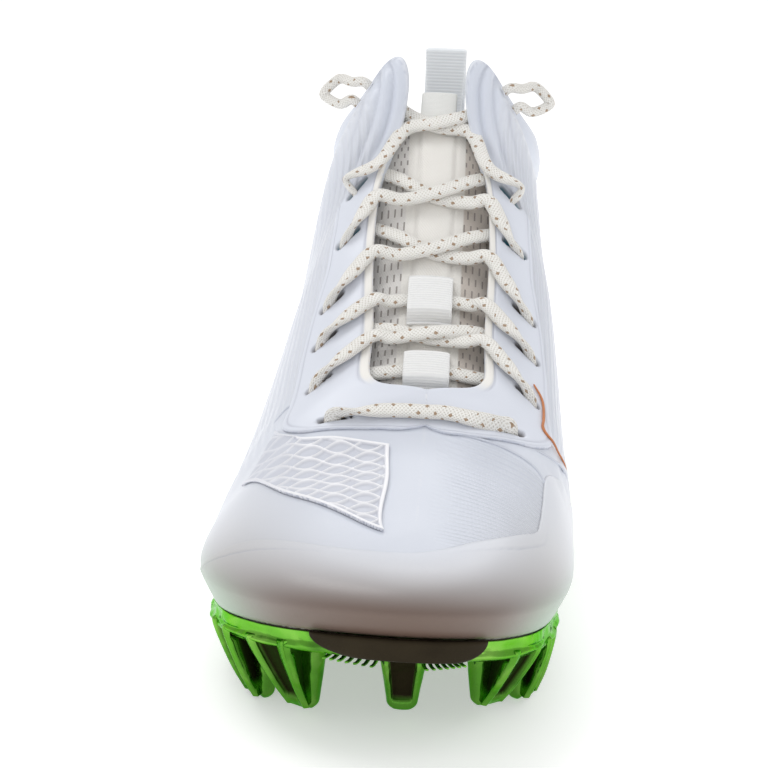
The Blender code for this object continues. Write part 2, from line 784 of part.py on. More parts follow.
def build_tongue():
    """Curved padded sheet that lies under the throat, thin at its edges."""
    share = np.linspace(0.0, 1.0, 13)
    half = smooth_table(np.linspace(0.0, 1.0, len(TONGUE_LINE)), column(TONGUE_LINE, 2), share)
    across = np.linspace(-1.0, 1.0, 9)
    front, rear = [], []
    for place, width in zip(share, half * TONGUE_WIDTH / 2):
        thick = TONGUE_THICKNESS * (0.35 + 0.65 * np.sqrt(np.clip(1 - across**4, 0, 1)))
        front.append(tongue_point(np.full(9, place), across * width))
        rear.append(tongue_point(np.full(9, place), across * width, -thick))
    return sheet("tongue", "tongue_mesh", front, rear)


def build_keepers():
    """Two webbing bridges that hold the laces to the tongue."""
    across = np.linspace(-0.5, 0.5, 3) * KEEPER_WIDTH
    hump = LACE_THICKNESS + 4 * CLEARANCE
    for name, back in (("lace_keeper_lower", INNER_BAR), ("lace_keeper_upper", EYELETS[2][2])):
        middle = throat_share(back)
        place = np.linspace(-1.0, 1.0, 11)
        rise = smooth_step(1.0 - np.abs(place), 0.15, 0.45)
        share = middle + place * KEEPER_REACH
        lift = CLEARANCE * 1.5 + KEEPER_THICKNESS / 2 + hump * rise
        grid = np.stack([tongue_point(share, np.full(11, x), lift) for x in across], 1)
        ribbon(name, "webbing", grid, KEEPER_THICKNESS)


def build_tongue_tab():
    """Webbing folded over the tongue's top edge and sewn to both of its faces."""
    off = CLEARANCE * 1.5 + KEEPER_THICKNESS / 2
    rows = []
    for x in np.linspace(-0.5, 0.5, 3) * TONGUE_TAB_WIDTH:
        front = tongue_point(np.linspace(0.925, 1.0, 3), np.full(3, x), off)
        rear = tongue_point(np.linspace(1.0, 0.93, 3), np.full(3, x), -TONGUE_THICKNESS - off)
        _, run, out = tongue_frame(1.0)
        peak = tongue_point(1.0, np.array([x]), -TONGUE_THICKNESS / 2)[0] + run[0] * TONGUE_TAB_HEIGHT
        turn = [peak + out[0] * KEEPER_THICKNESS * math.cos(a) + run[0] * KEEPER_THICKNESS * math.sin(a)
                for a in np.linspace(0.0, math.pi, 5)]
        rows.append(np.concatenate([front, turn, rear]))
    return ribbon("tongue_tab", "webbing", np.stack(rows, 1), KEEPER_THICKNESS)


def build_pull_tab():
    """Webbing loop at the heel: sewn on outside, over the collar, and down inside."""
    off = CLEARANCE * 2 + PULL_TAB_THICKNESS / 2
    crown = surface(0.0, 1.0) - normal(0.0, 1.0) * COLLAR_PADDING / 2 + np.array([0.0, 0.0, PULL_TAB_HEIGHT])
    rows = []
    for x in np.linspace(-0.5, 0.5, 3) * PULL_TAB_WIDTH:
        rows_up = np.linspace(0.55, 1.0, 6)
        u = np.mod([float(np.interp(x, surface(HEEL_FAN, level)[:, 0], HEEL_FAN)) for level in rows_up], 2.0)
        outside = surface(u, rows_up) + normal(u, rows_up) * off
        down, u_down = rows_up[::-1][:3], u[::-1][:3]
        depth = (wall_thickness(u_down, down) + off)[:, None]
        inside = surface(u_down, down) - normal(u_down, down) * depth
        turn = [crown + np.array([x, PULL_TAB_THICKNESS * math.cos(a), PULL_TAB_THICKNESS * math.sin(a)])
                for a in np.linspace(0.0, math.pi, 5)]
        rows.append(np.concatenate([outside, turn, inside]))
    return ribbon("heel_pull_tab", "webbing", np.stack(rows, 1), PULL_TAB_THICKNESS)


# Laces


def lace_tube(name, path, lift_dirs):
    """A flat lace along a path: an oval whose short axis follows lift_dirs."""
    path, lift_dirs = np.asarray(path, float), np.asarray(lift_dirs, float)
    run = np.gradient(path, axis=0)
    run /= np.linalg.norm(run, axis=-1, keepdims=True)
    side = np.cross(run, lift_dirs)
    side /= np.linalg.norm(side, axis=-1, keepdims=True)
    up = np.cross(side, run)
    skin = Skin()
    ring = []
    for turn in np.arange(6) * math.tau / 6:
        offset = side * math.cos(turn) * LACE_WIDTH / 2 + up * math.sin(turn) * LACE_THICKNESS / 2
        ring.append(skin.add(path + offset))
    grid = np.stack(ring + [ring[0]], -1)
    skin.quads(grid)
    skin.fan(grid[0][:6])
    skin.fan(grid[-1][:6])
    return skin.build(name, "lace")


def curve_through(points, count):
    """Even samples of a Catmull-Rom curve through a few points."""
    points = np.asarray(points, float)
    places = np.linspace(0.0, 1.0, len(points))
    where = np.linspace(0.0, 1.0, count)
    return np.stack([smooth_table(places, points[:, k], where) for k in range(points.shape[1])], -1)


def throat_share(back):
    """Share of the tongue's length at a share of the shoe's length."""
    places = np.linspace(0.0, 1.0, 200)
    line = smooth_table(np.linspace(0.0, 1.0, len(TONGUE_LINE)), column(TONGUE_LINE, 0), places)
    return np.interp(back, line, places)


def crosswise(y, side, v):
    """Places u at which the wall's lines of height v reach the plane at y."""
    along = np.linspace(0.55, 0.99, 120)
    u = along if side == "lateral" else 2.0 - along
    return np.array([np.interp(-y, -surface(u, np.full(120, level))[:, 1], u) for level in v])


def lace_strand(row, side):
    """From an eyelet over the eyestay's edge, across the tongue, to the far edge of the throat."""
    along, up, crossing, reach = EYELETS[row]
    first_u = along if side == "lateral" else 2.0 - along
    sign = -1.0 if side == "lateral" else 1.0
    on_stay = LACE_LIFT + EYESTAY_THICKNESS + LACE_THICKNESS / 2
    start, end = surface(first_u, up)[1], float(lengthwise(crossing - 0.008))
    points, out = [], []
    for share, v in ((0.0, up), (0.5, (up + OVER_EDGE) / 2), (1.0, OVER_EDGE)):
        u = first_u if share == 0.0 else crosswise(start + (end - start) * share, side, [v])[0]
        points.append(surface(u, v) + normal(u, v) * on_stay)
        out.append(normal(u, v))
    for across, advance in ((0.45, -0.003), (0.0, 0.0), (-reach, 0.018 * reach)):
        share = throat_share(crossing + advance)
        x = np.array([across * sign * THROAT_WIDTH / 2])
        points.append(tongue_point(share, x, LACE_LIFT + LACE_THICKNESS / 2)[0])
        out.append(tongue_frame(share)[2][0])
    return curve_through(points, 11), curve_through(out, 11)


def build_laces():
    """Bars in front of the throat and in it, and a crossing for each row above them."""
    along, up, _, _ = EYELETS[0]
    y = surface(along, up)[1]
    v = np.linspace(up, 1.0, 5)
    lateral, medial = crosswise(y, "lateral", v), crosswise(y, "medial", v)
    u = np.concatenate([lateral, medial[::-1][1:]])
    v = np.concatenate([v, v[::-1][1:]])
    out = normal(u, v)
    lift = LACE_LIFT + EYESTAY_THICKNESS + LACE_THICKNESS / 2
    lace_tube("lace_bar", surface(u, v) + out * lift, out)
    across = np.linspace(-0.36, 0.36, 7) * THROAT_WIDTH
    share = throat_share(INNER_BAR)
    inner = tongue_point(np.full(7, share), across, CLEARANCE * 2 + LACE_THICKNESS / 2)
    lace_tube("lace_bar_inner", inner, np.repeat(tongue_frame(share)[2], 7, axis=0))
    for row in range(1, len(EYELETS)):
        left, left_out = lace_strand(row, "lateral")
        right, right_out = lace_strand(row, "medial")
        piece = lace_tube(f"lace_crossing_{row}", left, left_out)
        tool = lace_tube(f"lace_joiner_{row}", right, right_out)
        combine(piece, tool, "UNION")


def loop_route(side):
    """Route of a lace loop: out from the ear, round, and back to the ear above."""
    u = 0.446 if side == "lateral" else 2.0 - 0.446
    sign = -1.0 if side == "lateral" else 1.0
    low, high = surface(u, 0.84), surface(u, 0.92)
    out = normal(u, 0.88)
    start, end = low + out * CLEARANCE * 2, high + out * CLEARANCE * 2
    reach = np.array([sign * LACE_LOOP_REACH, 0.004, 0.0])
    mid = (start + end) / 2
    return [
        start,
        start + out * LACE_THICKNESS,
        start + reach * 0.45 + np.array([0, 0, -0.0005]),
        start + reach * 0.80 + np.array([0, 0.001, 0.0010]),
        mid + reach * 1.02,
        end + reach * 0.80 + np.array([0, 0.001, 0.0015]),
        end + reach * 0.45 + np.array([0, 0, 0.0010]),
        end + out * LACE_THICKNESS,
        end,
    ]


def build_lace_loops():
    """The two free loops beside the ears, each a round cord."""
    for side in ("lateral", "medial"):
        route = curve_through(loop_route(side), 19)
        curve = bpy.data.curves.new(f"lace_loop_{side}", "CURVE")
        curve.dimensions = "3D"
        curve.bevel_depth = LACE_THICKNESS / 2
        curve.bevel_resolution = 2
        curve.use_fill_caps = True
        spline = curve.splines.new("POLY")
        spline.points.add(len(route) - 1)
        for point, place in zip(spline.points, route):
            point.co = (*place, 1.0)
        piece = bpy.data.objects.new(f"lace_loop_{side}", curve)
        bpy.context.scene.collection.objects.link(piece)
        curve.materials.append(material_of("lace"))
        piece.parent = bpy.data.objects["cleat"]


# Sole


def plate_bottom(back):
    """Height of the plate's underside."""
    return feather_height(back) - CLEARANCE - PLATE_THICKNESS


def level_at(u, height):
    """The v at which the wall stands height above the featherline."""
    v = np.linspace(0.0, 0.6, 61)
    grid = surface(np.repeat(u[:, None], 61, axis=1), np.repeat(v[None], len(u), axis=0))
    rise = grid[..., 2] - grid[:, :1, 2]
    return np.array([np.interp(h, r, v) for h, r in zip(height, rise)])


def shank_relief(points, share):
    """A raised spine down the middle of the waist, on the underside."""
    back = points[:, 1] / LENGTH + 0.5
    waist = smooth_step(back, 0.34, 0.46) * (1.0 - smooth_step(back, 0.66, 0.78))
    return -SHANK_RIB_HEIGHT * waist * np.exp(-(((share - 0.5) / 0.20) ** 2))


def rim_lines(u):
    """The plate's outer lip above and its lower edge, round the loop."""
    foot, out = surface(u, np.zeros(len(u))), normal(u, np.zeros(len(u)))
    lip = foot + out * (CLEARANCE + RIM_THICKNESS * 1.25)
    edge = foot + outward(u) * RIM_THICKNESS * 0.6
    edge[:, 2] = plate_bottom(outline_back(u))
    return lip, edge


def build_plate():
    """Moulded plate: a floor under the upper and a rim that cups its edge."""
    u = STATIONS
    rim_v = level_at(u, rim_share(u) * RIM_HEIGHT)
    u_grid, v_grid = clipped_grid(u, np.zeros(len(u)), rim_v)
    u_grid, v_grid = u_grid[:, :4], v_grid[:, :4]
    points, out = surface(u_grid, v_grid), normal(u_grid, v_grid)
    taper = 1.25 - 0.55 * v_grid / rim_v[:, None]
    inner = points + out * CLEARANCE
    outer = points + out * (CLEARANCE + RIM_THICKNESS * taper)[..., None]
    inner[:, 0, 2] = feather_height(outline_back(u)) - CLEARANCE
    corner = inner[:, 0] - outward(u) * UPPER_WALL * 0.5
    skin = Skin()
    floor_edge, inside, outside = skin.add(corner), skin.add(inner), skin.add(outer)
    bottom = skin.add(rim_lines(u)[1])
    wall_grid = np.concatenate([floor_edge[:, None], inside, outside[:, ::-1], bottom[:, None]], axis=1)
    skin.quads(wall_grid, closed=True)
    cap(skin, floor_edge, 4)
    cap(skin, bottom, 6, shank_relief)
    return skin.build("outsole_plate", "green_chrome")


def build_toe_insert():
    """Dark lens-shaped piece on the plate's front, under the toe."""
    count = 13
    u = np.linspace(*TOE_INSERT_SPAN, count)
    share = np.linspace(-1.0, 1.0, count)
    depth = np.sqrt(np.clip(1.0 - share**2, 0.03, 1.0))[:, None]
    lip, edge = rim_lines(u)
    out = outward(u)
    rows = [lip + (edge - lip) * (0.04 + 0.94 * depth * level) for level in (0.0, 0.5, 1.0)]
    near = np.stack(rows, 1) + out[:, None] * CLEARANCE * 1.5
    far = near + out[:, None] * TOE_INSERT_THICKNESS
    return sheet("toe_insert", "dark_plate", far, near)


def plate_edge(back, side):
    """X of the featherline at a share of the length, by interpolation round the loop."""
    along = np.linspace(0.0, 1.0, 200)
    line = surface(along if side < 0 else 2.0 - along, np.zeros(200))
    return float(np.interp(-lengthwise(back), -line[:, 1], line[:, 0]))


def build_stud(name, back, across, lift, turn):
    """A tapered blade with rounded corners, its outer face sloping out to the plate."""
    middle = (plate_edge(back, -1) + plate_edge(back, 1)) / 2
    edge = plate_edge(back, across)
    centre = np.array([middle + (edge - middle) * abs(across), lengthwise(back), 0.0])
    angle = math.radians(turn)
    facing = np.array([math.sin(angle), -math.cos(angle), 0.0])
    heading = np.array([math.cos(angle), math.sin(angle), 0.0])
    tip = lift * TOE_STUD_LIFT
    rings = []
    skin = Skin()
    for level, size in ((1.0, 1.0), (0.5, 0.75), (0.06, STUD_TIP_SHARE), (0.0, 0.86 * STUD_TIP_SHARE)):
        lean = facing * STUD_LEAN * level**2
        ring = []
        for point in np.arange(10) * math.tau / 10:
            x = math.copysign(abs(math.cos(point)) ** 0.75, math.cos(point)) * STUD_LENGTH / 2 * size
            y = math.copysign(abs(math.sin(point)) ** 0.75, math.sin(point)) * STUD_WIDTH / 2 * size
            place = centre + lean + heading * x + facing * y
            top = float(plate_bottom(place[1] / LENGTH + 0.5)) - CLEARANCE
            place[2] = tip + (top - tip) * level
            ring.append(place)
        rings.append(skin.add(ring))
    skin.quads(np.stack(rings, -1), closed=True)
    skin.fan(rings[0])
    skin.fan(rings[-1])
    return skin.build(f"stud_{name}", "green_chrome", 50.0)


def build_insole():
    """Foam footbed inside the wall, on the plate."""
    u = loop_stations(15, 8)
    clear = UPPER_WALL + 2 * CLEARANCE
    low = surface(u, 0.0) - outward(u) * clear
    low[:, 2] = feather_height(outline_back(u)) + CLEARANCE
    v = level_at(u, np.full(len(u), INSOLE_THICKNESS))
    high = surface(u, v) - outward(u) * clear
    high[:, 2] = low[:, 2] + INSOLE_THICKNESS
    keep = np.minimum(np.abs(low[:, :2]), np.abs(high[:, :2])) * np.sign(low[:, :2])
    high[:, :2] = keep
    skin = Skin()
    bottom, top = skin.add(low), skin.add(high)
    skin.quads(np.stack([bottom, top], -1), closed=True)
    cap(skin, bottom, 4)
    cap(skin, top, 4)
    return skin.build("insole", "insole_foam")


def centre_on_floor(root):
    """Moves the whole shoe so that the middle of its box stands over the origin."""
    corners = []
    for piece in root.children:
        if piece.type == "MESH" and not piece.hide_render:
            place = np.zeros(len(piece.data.vertices) * 3)
            piece.data.vertices.foreach_get("co", place)
            corners.append(place.reshape(-1, 3))
    corners = np.concatenate(corners)
    middle = (corners.min(0) + corners.max(0)) / 2
    root.location = (-middle[0], -middle[1], 0.0)


def main():
    for old in list(bpy.data.objects):
        bpy.data.objects.remove(old, do_unlink=True)
    root = bpy.data.objects.new("cleat", None)
    bpy.context.scene.collection.objects.link(root)
    upper = build_upper()
    eyestay = build_eyestay()
    build_toe_cap()
    cut_eyelets([upper, eyestay])
    build_tongue()
    build_keepers()
    build_tongue_tab()
    build_pull_tab()
    build_laces()
    build_lace_loops()
    build_insole()
    build_plate()
    build_toe_insert()
    for stud in STUDS:
        build_stud(*stud)
    centre_on_floor(root)


main()
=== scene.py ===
"""Looks of a right-foot american football cleat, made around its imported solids.

The upper's outside is one surface over two parameters, as in the part's source:
u runs round the loop, 0 at the heel, 1 at the toe tip by the lateral side and 2 at
the heel again, and v runs up the wall from the featherline, 0, to the top edge, 1.
Every film, panel, lace and strap below is worked out on that surface as whole
arrays. Lengths are in metres.
"""

import math

import bmesh
import bpy
import numpy as np
from mathutils import Matrix, Vector


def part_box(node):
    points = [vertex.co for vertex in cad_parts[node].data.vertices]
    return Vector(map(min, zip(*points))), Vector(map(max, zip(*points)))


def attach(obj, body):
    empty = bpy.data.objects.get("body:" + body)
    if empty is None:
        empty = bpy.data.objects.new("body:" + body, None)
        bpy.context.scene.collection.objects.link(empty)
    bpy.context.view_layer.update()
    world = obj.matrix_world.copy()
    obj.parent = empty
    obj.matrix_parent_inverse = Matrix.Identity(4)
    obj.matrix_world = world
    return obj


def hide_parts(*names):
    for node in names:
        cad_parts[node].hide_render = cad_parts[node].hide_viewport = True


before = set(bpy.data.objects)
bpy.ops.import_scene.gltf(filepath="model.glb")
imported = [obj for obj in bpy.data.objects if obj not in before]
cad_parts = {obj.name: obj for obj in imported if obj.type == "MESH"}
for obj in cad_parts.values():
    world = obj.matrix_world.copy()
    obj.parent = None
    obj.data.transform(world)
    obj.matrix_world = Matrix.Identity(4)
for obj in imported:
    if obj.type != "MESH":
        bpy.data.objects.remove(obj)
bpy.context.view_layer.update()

# Main sizes of the last
LENGTH = 0.298
BALL_WIDTH = 0.106
HEEL_WIDTH = 0.079
HEEL_HEIGHT = 0.111
EAR_HEIGHT = 0.1435
INSTEP_HEIGHT = 0.107
TOE_HEIGHT = 0.0352
THROAT_WIDTH = 0.040
COLLAR_WIDTH = 0.070
WIDEST_HEIGHT = 0.016
FEATHER_TUCK = 0.006

# Sole line above the floor
STUD_HEIGHT = 0.012
PLATE_THICKNESS = 0.0035
TOE_SPRING = 0.0170
TOE_BREAK = 0.36
ARCH_RISE = 0.0040
HEEL_LIFT = 0.0020

# Walls, clearances and layers
CLEARANCE = 0.0003
UPPER_WALL = 0.0022
COLLAR_PADDING = 0.0052
INSOLE_THICKNESS = 0.0040
TONGUE_THICKNESS = 0.0030
TONGUE_WIDTH = 0.044
RIM_THICKNESS = 0.0016
RIM_HEIGHT = 0.020
SHANK_RIB_HEIGHT = 0.0022
TOE_INSERT_SPAN = (0.9825, 1.0225)

# Straps and laces
KEEPER_WIDTH = 0.0135
KEEPER_THICKNESS = 0.0009
KEEPER_REACH = 0.056
TONGUE_TAB_WIDTH = 0.0115
TONGUE_TAB_HEIGHT = 0.0085
PULL_TAB_WIDTH = 0.0155
PULL_TAB_THICKNESS = 0.0013
PULL_TAB_HEIGHT = 0.0260
LACE_THICKNESS = 0.0026
LACE_LOOP_REACH = 0.0130
LOOP_PLACE = 0.446
TAIL_PLACE = 0.480

# Studs
STUD_LENGTH = 0.0135
STUD_WIDTH = 0.0110
STUD_TIP_SHARE = 0.58
STUD_LEAN = 0.0018
TOE_STUD_LIFT = 0.0050

OVER_EDGE = 1.03
PLAN_STEP = 1e-4
WALL_STEP = 2e-3
BASE = STUD_HEIGHT + PLATE_THICKNESS + CLEARANCE

# Widest line in plan. along: place on the loop, 0 heel to 1 toe tip.
# back: share of the length behind the toe tip. lateral, medial: shares of the local width.
OUTLINE = [
    # along, back, lateral, medial
    (0.000, 1.000, 0.000, 0.000),
    (0.050, 0.987, -0.243, 0.237),
    (0.110, 0.945, -0.408, 0.395),
    (0.180, 0.870, -0.486, 0.476),
    (0.260, 0.775, -0.490, 0.475),
    (0.350, 0.680, -0.465, 0.420),
    (0.460, 0.592, -0.450, 0.388),
    (0.580, 0.490, -0.475, 0.402),
    (0.665, 0.400, -0.502, 0.422),
    (0.742, 0.315, -0.520, 0.438),
    (0.820, 0.235, -0.524, 0.442),
    (0.865, 0.173, -0.514, 0.430),
    (0.905, 0.118, -0.474, 0.402),
    (0.938, 0.073, -0.405, 0.354),
    (0.966, 0.036, -0.300, 0.280),
    (0.986, 0.012, -0.160, 0.180),
    (1.000, 0.000, 0.025, 0.025),
]

# Top edge. gap: half the opening, a share of the width that "across" names.
# height: share above the base of the size that "of" names.
TOPLINE = [
    # along, back, gap, across, height, of
    (0.000, 0.972, 0.000, "collar", 1.000, "heel"),
    (0.050, 0.962, 0.207, "collar", 0.998, "heel"),
    (0.110, 0.927, 0.370, "collar", 0.985, "heel"),
    (0.180, 0.862, 0.465, "collar", 0.972, "heel"),
    (0.260, 0.785, 0.500, "collar", 0.980, "heel"),
    (0.330, 0.715, 0.490, "collar", 1.035, "heel"),
    (0.380, 0.668, 0.430, "collar", 0.852, "ear"),
    (0.415, 0.645, 0.345, "collar", 0.912, "ear"),
    (0.445, 0.628, 0.262, "collar", 0.974, "ear"),
    (0.475, 0.611, 0.190, "collar", 0.998, "ear"),
    (0.505, 0.598, 0.143, "collar", 0.962, "ear"),
    (0.535, 0.586, 0.150, "collar", 0.884, "ear"),
    (0.565, 0.567, 0.345, "throat", 1.085, "instep"),
    (0.600, 0.540, 0.430, "throat", 1.000, "instep"),
    (0.650, 0.485, 0.470, "throat", 0.848, "instep"),
    (0.700, 0.425, 0.455, "throat", 0.711, "instep"),
    (0.745, 0.370, 0.440, "throat", 0.610, "instep"),
    (0.775, 0.330, 0.440, "throat", 0.556, "instep"),
    (0.800, 0.316, 0.300, "throat", 0.538, "instep"),
    (0.820, 0.312, 0.000, "throat", 0.532, "instep"),
    (0.860, 0.265, 0.000, "throat", 1.340, "toe"),
    (0.910, 0.205, 0.000, "throat", 1.165, "toe"),
    (0.960, 0.155, 0.000, "throat", 1.045, "toe"),
    (1.000, 0.130, 0.000, "throat", 1.000, "toe"),
]
VAMP_POINT = 0.820

# Shape of the wall between the featherline and the top edge.
# tuck, widest: shares of FEATHER_TUCK and WIDEST_HEIGHT. lateral_in, medial_in,
# shoulder_up: where the wall's middle point lies between the widest point and the top edge.
# level: how level the wall arrives at its top edge, 1 on the ridge and 0 on the collar.
WALL_SHAPE = [
    # along, tuck, widest, lateral_in, medial_in, shoulder_up, level
    (0.00, 0.80, 1.60, 1.12, 1.12, 0.60, 0.00),
    (0.12, 0.80, 1.50, 1.05, 1.05, 0.58, 0.00),
    (0.26, 0.95, 1.30, 0.90, 0.85, 0.58, 0.00),
    (0.36, 1.05, 1.20, 0.54, 0.38, 0.66, 0.00),
    (0.46, 1.05, 1.10, 0.38, 0.24, 0.70, 0.00),
    (0.54, 1.00, 1.05, 0.40, 0.20, 0.68, 0.15),
    (0.62, 0.95, 1.00, 0.43, 0.18, 0.66, 0.50),
    (0.70, 0.95, 0.95, 0.42, 0.20, 0.66, 0.75),
    (0.80, 0.95, 0.85, 0.40, 0.24, 0.68, 1.00),
    (0.90, 0.90, 0.75, 0.31, 0.28, 0.71, 1.00),
    (1.00, 0.80, 0.60, 0.25, 0.25, 0.74, 1.00),
]
RIDGE_SHIFT = 0.004

# Height of the wall's knots in v
V_WIDEST = 0.16
V_SHOULDER = 0.60
FULLNESS = 0.55

# Sole rim above the featherline, a share of RIM_HEIGHT
RIM_LINE = [
    # along, rim
    (0.00, 1.00),
    (0.14, 0.92),
    (0.30, 0.66),
    (0.46, 0.46),
    (0.60, 0.26),
    (0.76, 0.20),
    (0.90, 0.14),
    (1.00, 0.10),
]

# Lace slots, from the vamp to the ear. along and up: the slot's place on the wall.
# crossing: share of the length at which the row's two strands cross on the tongue.
# reach: how far past the middle a strand goes, a share of half the throat.
EYELETS = [
    # along, up, crossing, reach
    (0.820, 0.735, 0.300, 0.50),
    (0.762, 0.790, 0.380, 0.50),
    (0.715, 0.788, 0.424, 0.50),
    (0.680, 0.808, 0.474, 0.50),
    (0.632, 0.862, 0.527, 0.50),
    (0.576, 0.842, 0.592, 0.20),
]
INNER_BAR = 0.343

# Lower edge of the eyestay, from the ear to the ridge in front of the throat
EYESTAY_LINE = [
    # along, up
    (0.566, 0.720),
    (0.600, 0.755),
    (0.640, 0.755),
    (0.680, 0.700),
    (0.720, 0.670),
    (0.765, 0.660),
    (0.800, 0.610),
    (0.820, 0.635),
    (0.830, 0.710),
    (0.840, 0.810),
    (0.8465, 0.885),
    (0.8500, 0.940),
    (0.8515, 0.975),
    (0.852, 1.000),
]

# Upper edge of the toe cap, from the lateral side round the toe to the medial side
TOE_CAP_LINE = [
    # round the loop, up
    (0.885, 0.120),
    (0.910, 0.360),
    (0.930, 0.510),
    (0.950, 0.620),
    (0.970, 0.700),
    (0.985, 0.755),
    (1.000, 0.800),
    (1.015, 0.805),
    (1.040, 0.750),
    (1.070, 0.640),
    (1.100, 0.530),
    (1.130, 0.545),
    (1.165, 0.560),
    (1.195, 0.480),
    (1.225, 0.330),
    (1.255, 0.120),
]
TOE_CAP_FOOT = 0.030

# How far the eyestay reaches in over the throat, in v past the top edge
EYESTAY_OVERHANG = 0.02

# Studs. back: share of the length behind the toe tip. across: share of the way from
# the middle to the plate's edge. lift: share of TOE_STUD_LIFT. turn: degrees from
# facing forward to facing the side.
STUDS = [
    # name, back, across, lift, turn
    ("toe", 0.092, 0.15, 1.10, 0),
    ("lateral_1", 0.098, -0.52, 0.65, -30),
    ("lateral_2", 0.138, -0.75, 0.00, -58),
    ("lateral_3", 0.212, -0.86, 0.00, -82),
    ("lateral_4", 0.300, -0.87, 0.00, -92),
    ("lateral_5", 0.388, -0.87, 0.00, -96),
    ("medial_1", 0.116, 0.69, 0.90, 38),
    ("medial_2", 0.164, 0.87, 0.10, 66),
    ("medial_3", 0.250, 0.88, 0.00, 84),
    ("medial_4", 0.350, 0.87, 0.00, 98),
    ("heel_lateral_1", 0.770, -0.80, 0.00, -92),
    ("heel_lateral_2", 0.905, -0.74, 0.00, -68),
    ("heel_medial_1", 0.770, 0.80, 0.00, 92),
    ("heel_medial_2", 0.905, 0.74, 0.00, 68),
]

SIGNS = {"lateral": -1.0, "medial": 1.0}

# Splines and surface of the last


def clamp(value):
    return np.clip(value, 0.0, 1.0)


def steps(count):
    """Even shares from 0 to 1."""
    return np.linspace(0.0, 1.0, count)


def mesh_of(rows, columns):
    return np.meshgrid(rows, columns, indexing="ij")


def unit(vectors):
    return vectors / np.linalg.norm(vectors, axis=-1, keepdims=True)


def run_lengths(path, axis=0):
    """Distance along a path, or along each line of a grid, from its first point."""
    step = np.linalg.norm(np.diff(path, axis=axis), axis=-1)
    start = np.zeros_like(np.take(step, [0], axis=axis))
    return np.concatenate([start, np.cumsum(step, axis=axis)], axis=axis)


def rounded_square(turn, power):
    """x and y round a square with round corners."""
    return [np.sign(wave) * np.abs(wave) ** power for wave in (np.cos(turn), np.sin(turn))]


def loop_spline(along, lateral, medial):
    """Closed cubic spline round the loop: lateral values out, medial values back."""
    along = np.asarray(along, float)
    inner = slice(1, len(along) - 1)
    knots = np.concatenate([along, (2.0 - along[inner])[::-1]])
    values = np.concatenate([lateral, np.asarray(medial, float)[inner][::-1]])
    count = len(knots)
    step = np.diff(np.append(knots, knots[0] + 2.0))
    rise = np.diff(np.append(values, values[0])) / step
    system = np.zeros((count, count))
    for i in range(count):
        system[i, i - 1] += step[i - 1]
        system[i, i] += 2.0 * (step[i - 1] + step[i])
        system[i, (i + 1) % count] += step[i]
    bend = np.linalg.solve(system, 6.0 * (rise - np.roll(rise, 1)))

    def at(u):
        u = np.mod(np.asarray(u, float), 2.0)
        i = np.clip(np.searchsorted(knots, u, side="right") - 1, 0, count - 1)
        j = (i + 1) % count
        right = (u - knots[i]) / step[i]
        left = 1.0 - right
        cubic = (left**3 - left) * bend[i] + (right**3 - right) * bend[j]
        return left * values[i] + right * values[j] + cubic * step[i] ** 2 / 6.0

    return at


def smooth_step(value, low, high):
    """0 below low, 1 above high, and a smooth S between."""
    share = clamp((np.asarray(value, float) - low) / (high - low))
    return share * share * (3.0 - 2.0 * share)


def smooth_fall(value, low, high):
    """1 below low, 0 above high, and a smooth S between."""
    return 1.0 - smooth_step(value, low, high)


def window(value, low, in_full, out_full, high):
    """0 outside low and high, 1 from in_full to out_full."""
    return smooth_step(value, low, in_full) * smooth_fall(value, out_full, high)


def along_of(u):
    """The place between heel, 0, and toe tip, 1, whichever side u is on."""
    u = np.mod(np.asarray(u, float), 2.0)
    return np.where(u > 1.0, 2.0 - u, u)


def column(table, index):
    return np.array([row[index] for row in table], float)


def local_width(back):
    """Width that the outline's shares are of: the heel's behind, the ball's in front."""
    heel = smooth_step(back, 0.50, 0.85)
    return HEEL_WIDTH * heel + BALL_WIDTH * (1.0 - heel)


def lengthwise(back):
    """Y of a share of the length behind the toe tip."""
    return (np.asarray(back, float) - 0.5) * LENGTH


def feather_height(back):
    """Height of the upper's bottom edge: toe spring, arch and a slight heel lift."""
    toe = TOE_SPRING * clamp((TOE_BREAK - back) / TOE_BREAK) ** 1.8
    arch = ARCH_RISE * np.exp(-(((back - 0.56) / 0.13) ** 2))
    heel = HEEL_LIFT * smooth_step(back, 0.60, 0.85)
    return BASE + toe + arch + heel


ACROSS = {"collar": COLLAR_WIDTH, "throat": THROAT_WIDTH}
HEIGHTS = {"heel": HEEL_HEIGHT, "ear": EAR_HEIGHT, "instep": INSTEP_HEIGHT, "toe": TOE_HEIGHT}


def table_spline(table, lateral, medial=None, sizes=1.0):
    """Spline round the loop of a table's columns: one for the lateral side, one for the medial."""
    medial = lateral if medial is None else medial
    return loop_spline(column(table, 0), column(table, lateral) * sizes, column(table, medial) * sizes)


_top_gap = np.array([ACROSS[row[3]] for row in TOPLINE])
outline_back = table_spline(OUTLINE, 1)
outline_x = table_spline(OUTLINE, 2, 3, local_width(column(OUTLINE, 1)))
top_back = table_spline(TOPLINE, 1)
top_height = table_spline(TOPLINE, 4, sizes=np.array([HEIGHTS[row[5]] for row in TOPLINE]))
top_gap = loop_spline(column(TOPLINE, 0), -column(TOPLINE, 2) * _top_gap, column(TOPLINE, 2) * _top_gap)
wall = [table_spline(WALL_SHAPE, *columns) for columns in ((1,), (2,), (3, 4), (5,), (6,))]
rim_share = table_spline(RIM_LINE, 1)


def ridge_x(u):
    """The ridge and the throat lean towards the medial side in front."""
    return RIDGE_SHIFT * smooth_step(along_of(u), 0.45, 0.90)


def top_edge(u):
    """Points of the collar, ears, throat and ridge."""
    gap = np.where(along_of(u) >= VAMP_POINT - 1e-9, 0.0, top_gap(u))
    return np.stack([ridge_x(u) + gap, lengthwise(top_back(u)), BASE + top_height(u)], -1)


